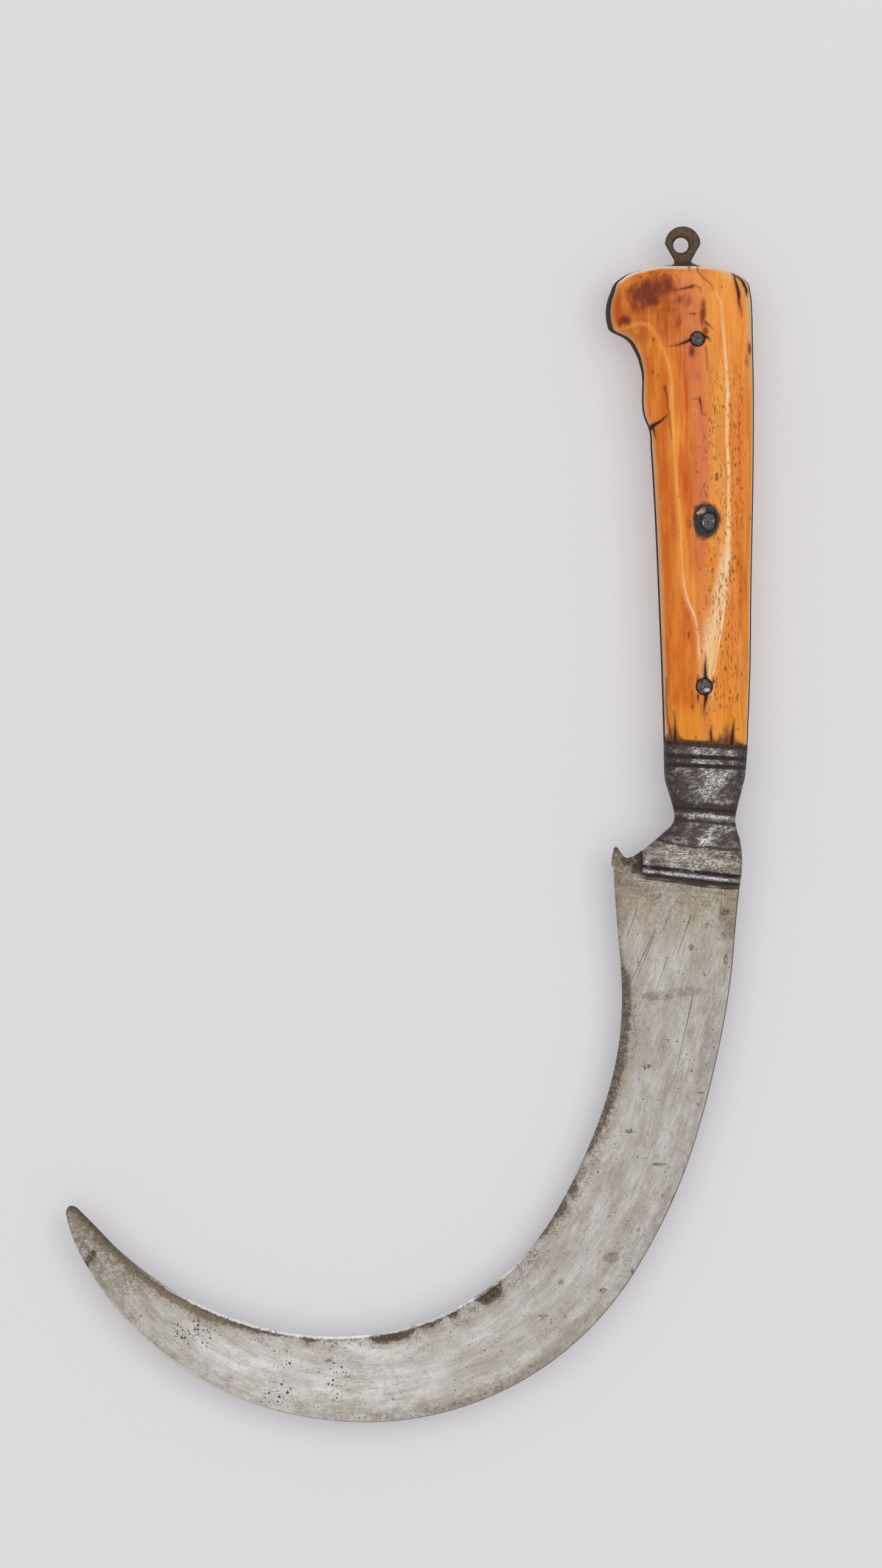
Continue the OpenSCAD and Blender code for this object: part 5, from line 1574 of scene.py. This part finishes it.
# %% Lac and the bedding sheets
lac, shader, spot = new_finish("black_lac", 0.4)
crumbled = patches(spot, Size=0.9, Cover=0.42, Softness=0.16)
coat = Coat(mixed(crumbled, srgb(42, 37, 40), srgb(74, 67, 71)))
# painted shade: a dark ring round the middle rivet's head, where the gap beside it lies in shadow
beside = (spot - (MIDDLE[0] - 0.25, MIDDLE[1], 7)) / (2.1, 2.6, 3)
painted_gap_shade = spread(vector("LENGTH", beside), 1.3, 1.0)
coat.lay(painted_gap_shade, 0.9, 24, 20, 23)
glints = pits(spot, Spacing=0.5, Share=0.25, Radius=0.3)
coat.mix(glints * 0.5, srgb(120, 112, 96))
wire(shader, coat.colour, spread(crumbled, 0, 1, 0.3, 0.65), None, crumbled, 0.12)
for name in ("bedding_front", "bedding_back"):
    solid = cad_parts[name]
    solid.data.materials.clear()
    solid.data.materials.append(lac)

# %% [markdown]
# ## Lac in the recess, and the sliver
# The lac in the worn recess was smeared in by hand, so its surface is uneven and creeps up the
# wall. It is a skin over rings that grow outwards. The sliver of bone that packs the rivet is a
# short splinter, thicker in the middle, lofted along its length.

# %% The lac fill and the bone sliver
def around(count):
    """That many angles, evenly round a full turn."""
    return np.linspace(0, 2 * np.pi, count, endpoint=False)


def recess_ring(share, z):
    """A ring of the recess's shape, by its share of the full size."""
    x, y = flattened(RECESS[2] * share, RECESS[3] * share, 2.4, around(72))
    bend = recess_bend(x, y)
    return np.stack([x * bend + RECESS[0], y * bend + RECESS[1], np.full(72, z)], axis=1)


fill_rings = []
for share in np.linspace(0.02, 1.04, 28):
    ring = recess_ring(share, 6.5)
    ring[:, 2] += 0.14 * grain(ring[:, 0], ring[:, 1], 0.9, 3) + 0.72 * ease((share - 0.66) / 0.36)
    fill_rings.append(ring)
fill_rings += [recess_ring(1.02, 6.2), recess_ring(0.97, 5.35)]
lac_fill = skin("lac_fill", fill_rings)
lac_fill.data.materials.append(lac)

sliver_rings = []
SLIVER_TURN, SLIVER_X, SLIVER_Y, SLIVER_Z = 32, -1.2, 61.05, 6.36
turn = math.radians(SLIVER_TURN)
for part in np.linspace(-1, 1, 31):
    body = math.sqrt(max(0.02, 1 - abs(part) ** 4)) * (1 + 0.14 * math.sin(part * 5 + 1))
    px, pz = flattened(0.7 * body, 0.95 * min(body, 1), 3, around(28))
    px = px + 0.14 * part**2 + 0.05 * math.sin(part * 17)
    reach = part * 1.7
    ring_x = SLIVER_X + reach * math.cos(turn) - px * math.sin(turn)
    ring_y = SLIVER_Y + reach * math.sin(turn) + px * math.cos(turn)
    ring_z = SLIVER_Z + pz + 0.05 * grain(ring_x * 3, ring_y * 3, 1.0, 8)
    sliver_rings.append(np.stack([ring_x, ring_y, ring_z], axis=1))
bone_sliver = skin("bone_sliver", sliver_rings)
bone, shader, spot = new_finish("tan_bone", 0.5)
split = streaks(rotated(spot, -SLIVER_TURN), Scale=(0.5, 5.0, 5.0), Cover=0.5, Softness=0.15)
coat = Coat(mixed(split, srgb(222, 188, 148), srgb(148, 106, 70)))
smut = patches(spot, Size=0.9, Cover=0.4, Softness=0.12)
coat.mix(smut, srgb(84, 58, 40))
wire(shader, coat.colour, spread(smut, 0, 1, 0.4, 0.7), None, split, -0.08)
bone_sliver.data.materials.append(bone)

# %% [markdown]
# ## Three peened rivets
# A peened rivet is a rod whose ends were hammered into heads. All three follow one rule with
# different sizes, so a geometry tree makes them: one head and one shank are placed on three points,
# stretched by the sizes stored there, and roughened by a seeded noise that stands for the hammer.

# %% A geometry tree for rivets
rivet_tree, given = new_rule("peened_rivets", {
    "Shank radius": 0.0015, "Hammer marks": 0.00016, "Mark size": 0.0009, "Seed": 3.0})


def point_value(name, kind="FLOAT"):
    """The value of that name on the rivets' points."""
    return add("GeometryNodeInputNamedAttribute", {"Name": name}, data_type=kind)["Attribute"]


ball = add("GeometryNodeMeshUVSphere", {"Segments": 44, "Rings": 26, "Radius": 1.0})["Mesh"]
parts = add("ShaderNodeSeparateXYZ", {0: add("GeometryNodeInputPosition")})
tall = maths("SIGN", parts["Z"]) * abs(parts["Z"]) ** 0.6
wide = strongest(1 - abs(parts["Z"]) ** 4, 0.0) ** 0.5
level = maths("SQRT", strongest(1 - parts["Z"] * parts["Z"], 1e-06))
grow = wide / level
button = add("GeometryNodeSetPosition",
             {"Geometry": ball, "Position": combined(parts["X"] * grow, parts["Y"] * grow, tall)})
heads = []
for end in ("front", "back"):
    seat = combined(0, 0, point_value(end + "_seat"))
    size = point_value(end + "_size", "FLOAT_VECTOR")
    at_seat = add("GeometryNodeSetPosition", {"Geometry": given["Geometry"], "Offset": seat})
    heads.append(add("GeometryNodeInstanceOnPoints",
                     {"Points": at_seat, "Instance": button, "Scale": size}))
shank = {"Vertices": 32, "Radius": given["Shank radius"], "Depth": 0.0118}
rod = add("GeometryNodeMeshCylinder", shank)["Mesh"]
heads.append(add("GeometryNodeInstanceOnPoints", {"Points": given["Geometry"], "Instance": rod}))
joined = add("GeometryNodeJoinGeometry")
for head in heads:
    feed(head, joined.socket.node.inputs[0])
real = add("GeometryNodeRealizeInstances", {0: joined})
blow = add("ShaderNodeTexNoise", {"Scale": 1 / given["Mark size"], "W": given["Seed"], "Detail": 2.0},
           noise_dimensions="4D")
push = {0: add("GeometryNodeInputNormal"), "Scale": (blow - 0.62) * given["Hammer marks"]}
push = add("ShaderNodeVectorMath", push, operation="SCALE")
beaten = add("GeometryNodeSetPosition", {"Geometry": real, "Offset": push})
dressed = add("GeometryNodeSetMaterial", {"Geometry": beaten, "Material": given["Material"]})
add("NodeGroupOutput", {0: dressed})

# %% [markdown]
# The heads are bare iron, darkened by handling, with bright flecks where they are rubbed. The
# lower and the middle head also get a painted highlight: a bright crescent where the domed head
# would catch the light.

# %% The three rivets
rivet_iron, shader, spot = new_finish("rivet_iron", 0.42, 0.9)
cloudy = patches(spot, Size=1.2, Cover=0.5, Softness=0.18)
height_on_grip = axis(spot, "Y")
middle_one = spread(height_on_grip, 35, 45) * spread(height_on_grip, 85, 75)
coat = Coat(mixed(cloudy, srgb(88, 83, 84), srgb(54, 50, 51)))
coat.mix(middle_one, mixed(cloudy, srgb(90, 86, 92), srgb(58, 54, 60)))
rubbed = patches(spot, Size=0.5, Cover=0.42, Softness=0.06, Roughness=0.8)
# painted highlights: bright crescents on the lower head's lower right and on the middle head's left
# edge
PAINTED_HIGHLIGHTS = ((LOWER[0] + 0.7, LOWER[1] - 1.0, 1.2, 0.6), (MIDDLE[0] - 1.5, MIDDLE[1] - 0.5, 0.3, 0.8))
painted_highlight = strongest(*[mark(spot, Centre=(x, y, 6.5), Reach=(wide, high, 3), Ragged=0.6, Grit=1.2)
                       for x, y, wide, high in PAINTED_HIGHLIGHTS])
# from here on, rubbed holds both the rubbed flecks and the painted highlights
rubbed = strongest(rubbed * 0.4, painted_highlight)
coat.lay(rubbed, 0.75, 206, 202, 199)
holes = pits(spot, Spacing=0.45, Share=0.35, Radius=0.3)
coat.lay(holes, 0.7, 42, 34, 36)
wire(shader, coat.colour, spread(rubbed, 0, 1, 0.5, 0.34), None, rubbed - holes, 0.05)

# half width, half length and height of each head in front and behind, in millimetres
RIVETS = {UPPER: ((1.85, 1.85, 1.55), 6.1, (1.85, 1.85, 1.25), -6.1),
          MIDDLE: ((2.0, 2.5, 2.05), 5.3, (2.0, 2.0, 1.25), -6.1),
          LOWER: ((2.1, 2.1, 1.76), 6.1, (2.1, 2.1, 1.25), -6.1)}
rivet_mesh = bpy.data.meshes.new("rivet_places")
rivet_mesh.from_pydata(place([(x, y, 0) for x, y in RIVETS]).tolist(), [], [])
for label, k in (("front_size", 0), ("back_size", 2)):
    sizes = np.array([row[k] for row in RIVETS.values()]) / 1000
    layer = rivet_mesh.attributes.new(label, "FLOAT_VECTOR", "POINT")
    layer.data.foreach_set("vector", sizes.ravel())
rivets = bpy.data.objects.new("peened_rivets", rivet_mesh)
scene.collection.objects.link(rivets)
for label, k in (("front_seat", 1), ("back_seat", 3)):
    store(rivets, label, [row[k] / 1000 for row in RIVETS.values()])
settle(rivets, rivet_tree, rivet_iron)

# %% [markdown]
# ## The hanging eye
# The eye was forged from a rod: flattened, punched, and drawn down to a neck with a flared foot
# that sits on the pommel. A ring section is swept round the hole out to the eye's outline, the
# neck and foot are turned, and a voxel remesh melts the parts into one soft forging.

# %% The hanging eye
VOXEL, HALF_DEPTH = 0.13, 1.4
EYE, HOLE, HOLE_R = np.array([-6.0, GRIP + 5.7]), np.array([-6.5, GRIP + 5.4]), 1.97
eye_line = [*arc(EYE, 4.7, 0, 180, 60), (-8.3, GRIP + 1.5), (-8.2, GRIP + 0.4),
            (-3.8, GRIP + 0.4), (-3.7, GRIP + 1.5)]
corners = np.array(eye_line)
nexts = np.roll(corners, -1, axis=0)


def reach_of(angle):
    """How far the eye's outline lies from the middle of the hole, in that direction."""
    way = np.array([math.cos(angle), math.sin(angle)])
    edge = nexts - corners
    cross = way[0] * edge[:, 1] - way[1] * edge[:, 0]
    to = corners - HOLE
    with np.errstate(divide="ignore", invalid="ignore"):
        far = (to[:, 0] * edge[:, 1] - to[:, 1] * edge[:, 0]) / cross
        part = (to[:, 0] * way[1] - to[:, 1] * way[0]) / cross
    hit = (part >= -1e-9) & (part <= 1 + 1e-9) & (far > 0)
    return far[hit].min()


eye_rings = []
for angle in np.linspace(0, 2 * np.pi, 120):
    outer = min(reach_of(angle), 6.2)
    mid, half = (outer + HOLE_R) / 2, (outer - HOLE_R) / 2
    across_x, across_z = flattened(half, HALF_DEPTH, 2.6, around(44))
    far = mid + across_x
    eye_rings.append(np.stack([HOLE[0] + far * math.cos(angle), HOLE[1] + far * math.sin(angle),
                               across_z], axis=1))
neck_rings = []
# height above the pommel, half width, half depth and shift of the foot's and neck's rings
NECK = ((-0.6, 3.6, 3.4, 0.5), (0.02, 3.9, 3.6, 0.6), (0.22, 3.3, 3.0, 0.5), (0.6, 2.6, 2.3, 0.3),
        (1.1, 2.1, 1.8, 0.1), (1.7, 1.85, 1.55, 0), (2.3, 1.95, 1.4, 0), (2.9, 2.2, 1.2, 0))
for y, rx, rz, shift in NECK:
    x, z = flattened(rx, rz, 2.2, around(48))
    neck_rings.append(np.stack([x - 6 + shift, np.full(48, GRIP + y), z], axis=1))
hanging_eye = skin("hanging_eye", eye_rings, capped=False)
neck = skin("eye_neck", neck_rings)
both = bmesh.new()
both.from_mesh(hanging_eye.data)
both.from_mesh(neck.data)
both.to_mesh(hanging_eye.data)
both.free()
bpy.data.objects.remove(neck)
melt = hanging_eye.modifiers.new("melt", "REMESH")
melt.mode = "VOXEL"
melt.voxel_size = VOXEL / 1000
soften = hanging_eye.modifiers.new("soften", "SMOOTH")
soften.factor = 0.5
soften.iterations = 6
view = bpy.context.evaluated_depsgraph_get()
eye_mesh = bpy.data.meshes.new_from_object(hanging_eye.evaluated_get(view))
hanging_eye.modifiers.clear()
hanging_eye.data = eye_mesh
points = points_of(hanging_eye)
dent = 0.07 * grain(points[:, 0] + points[:, 2], points[:, 1], 1.4, 31)
points[:, 2] *= 1 - np.abs(dent) / HALF_DEPTH
move_points(hanging_eye, points)
print("hanging eye:", len(eye_mesh.polygons), "faces,", finish_mesh(eye_mesh, 60), "open edges")

# %% [markdown]
# Handling has turned the iron of the eye bronze brown, with olive patches, paler rubbed flecks
# and small dark pits.

# %% Bronzed iron
bronzed, shader, spot = new_finish("bronzed_iron", 0.36, 0.8)
cloudy = patches(spot, Size=1.4, Cover=0.5, Softness=0.2)
coat = Coat(mixed(cloudy, srgb(106, 84, 66), srgb(70, 54, 46)))
olive = patches(spot + (5, 5, 5), Size=1.0, Cover=0.45, Softness=0.16)
coat.lay(olive, 0.5, 92, 84, 56)
rubbed = patches(spot, Size=0.6, Cover=0.34, Softness=0.12, Roughness=0.75)
coat.lay(rubbed, 0.55, 150, 134, 116)
holes = pits(spot, Spacing=0.5, Share=0.4, Radius=0.3)
coat.lay(holes, 0.8, 38, 28, 26)
wire(shader, coat.colour, spread(rubbed, 0, 1, 0.44, 0.3), None, rubbed - holes, 0.07)
eye_mesh.materials.clear()
eye_mesh.materials.append(bronzed)

# %% [markdown]
# ## Every piece on the knife
# Each piece now rides on the knife's one body, and the CAD solids that it stands for are hidden.
# The number of triangles of each piece is printed.

# %% Every piece rides on the knife
PIECES = ((blade_piece, ["blade"], "polished_steel"), (tang_piece, ["blade"], "polished_steel"),
          (bolster_front, ["bolster_front"], "forged_iron"),
          (bolster_back, ["bolster_back"], "forged_iron"),
          (scale_front, ["scale_front"], "stained_ivory"),
          (scale_back, ["scale_back"], "stained_ivory"),
          (lac_fill, ["rivet_fill"], "black_lac"), (bone_sliver, ["rivet_wedge"], "tan_bone"),
          (rivets, ["rivet_upper", "rivet_middle", "rivet_lower"], "rivet_iron"),
          (hanging_eye, ["suspension_loop"], "bronzed_iron"))
for piece, nodes, slot in PIECES:
    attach(piece, "root")
    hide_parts(*nodes)
    print(f"{piece.name}: {sum(len(p.vertices) - 2 for p in piece.data.polygons)} triangles")
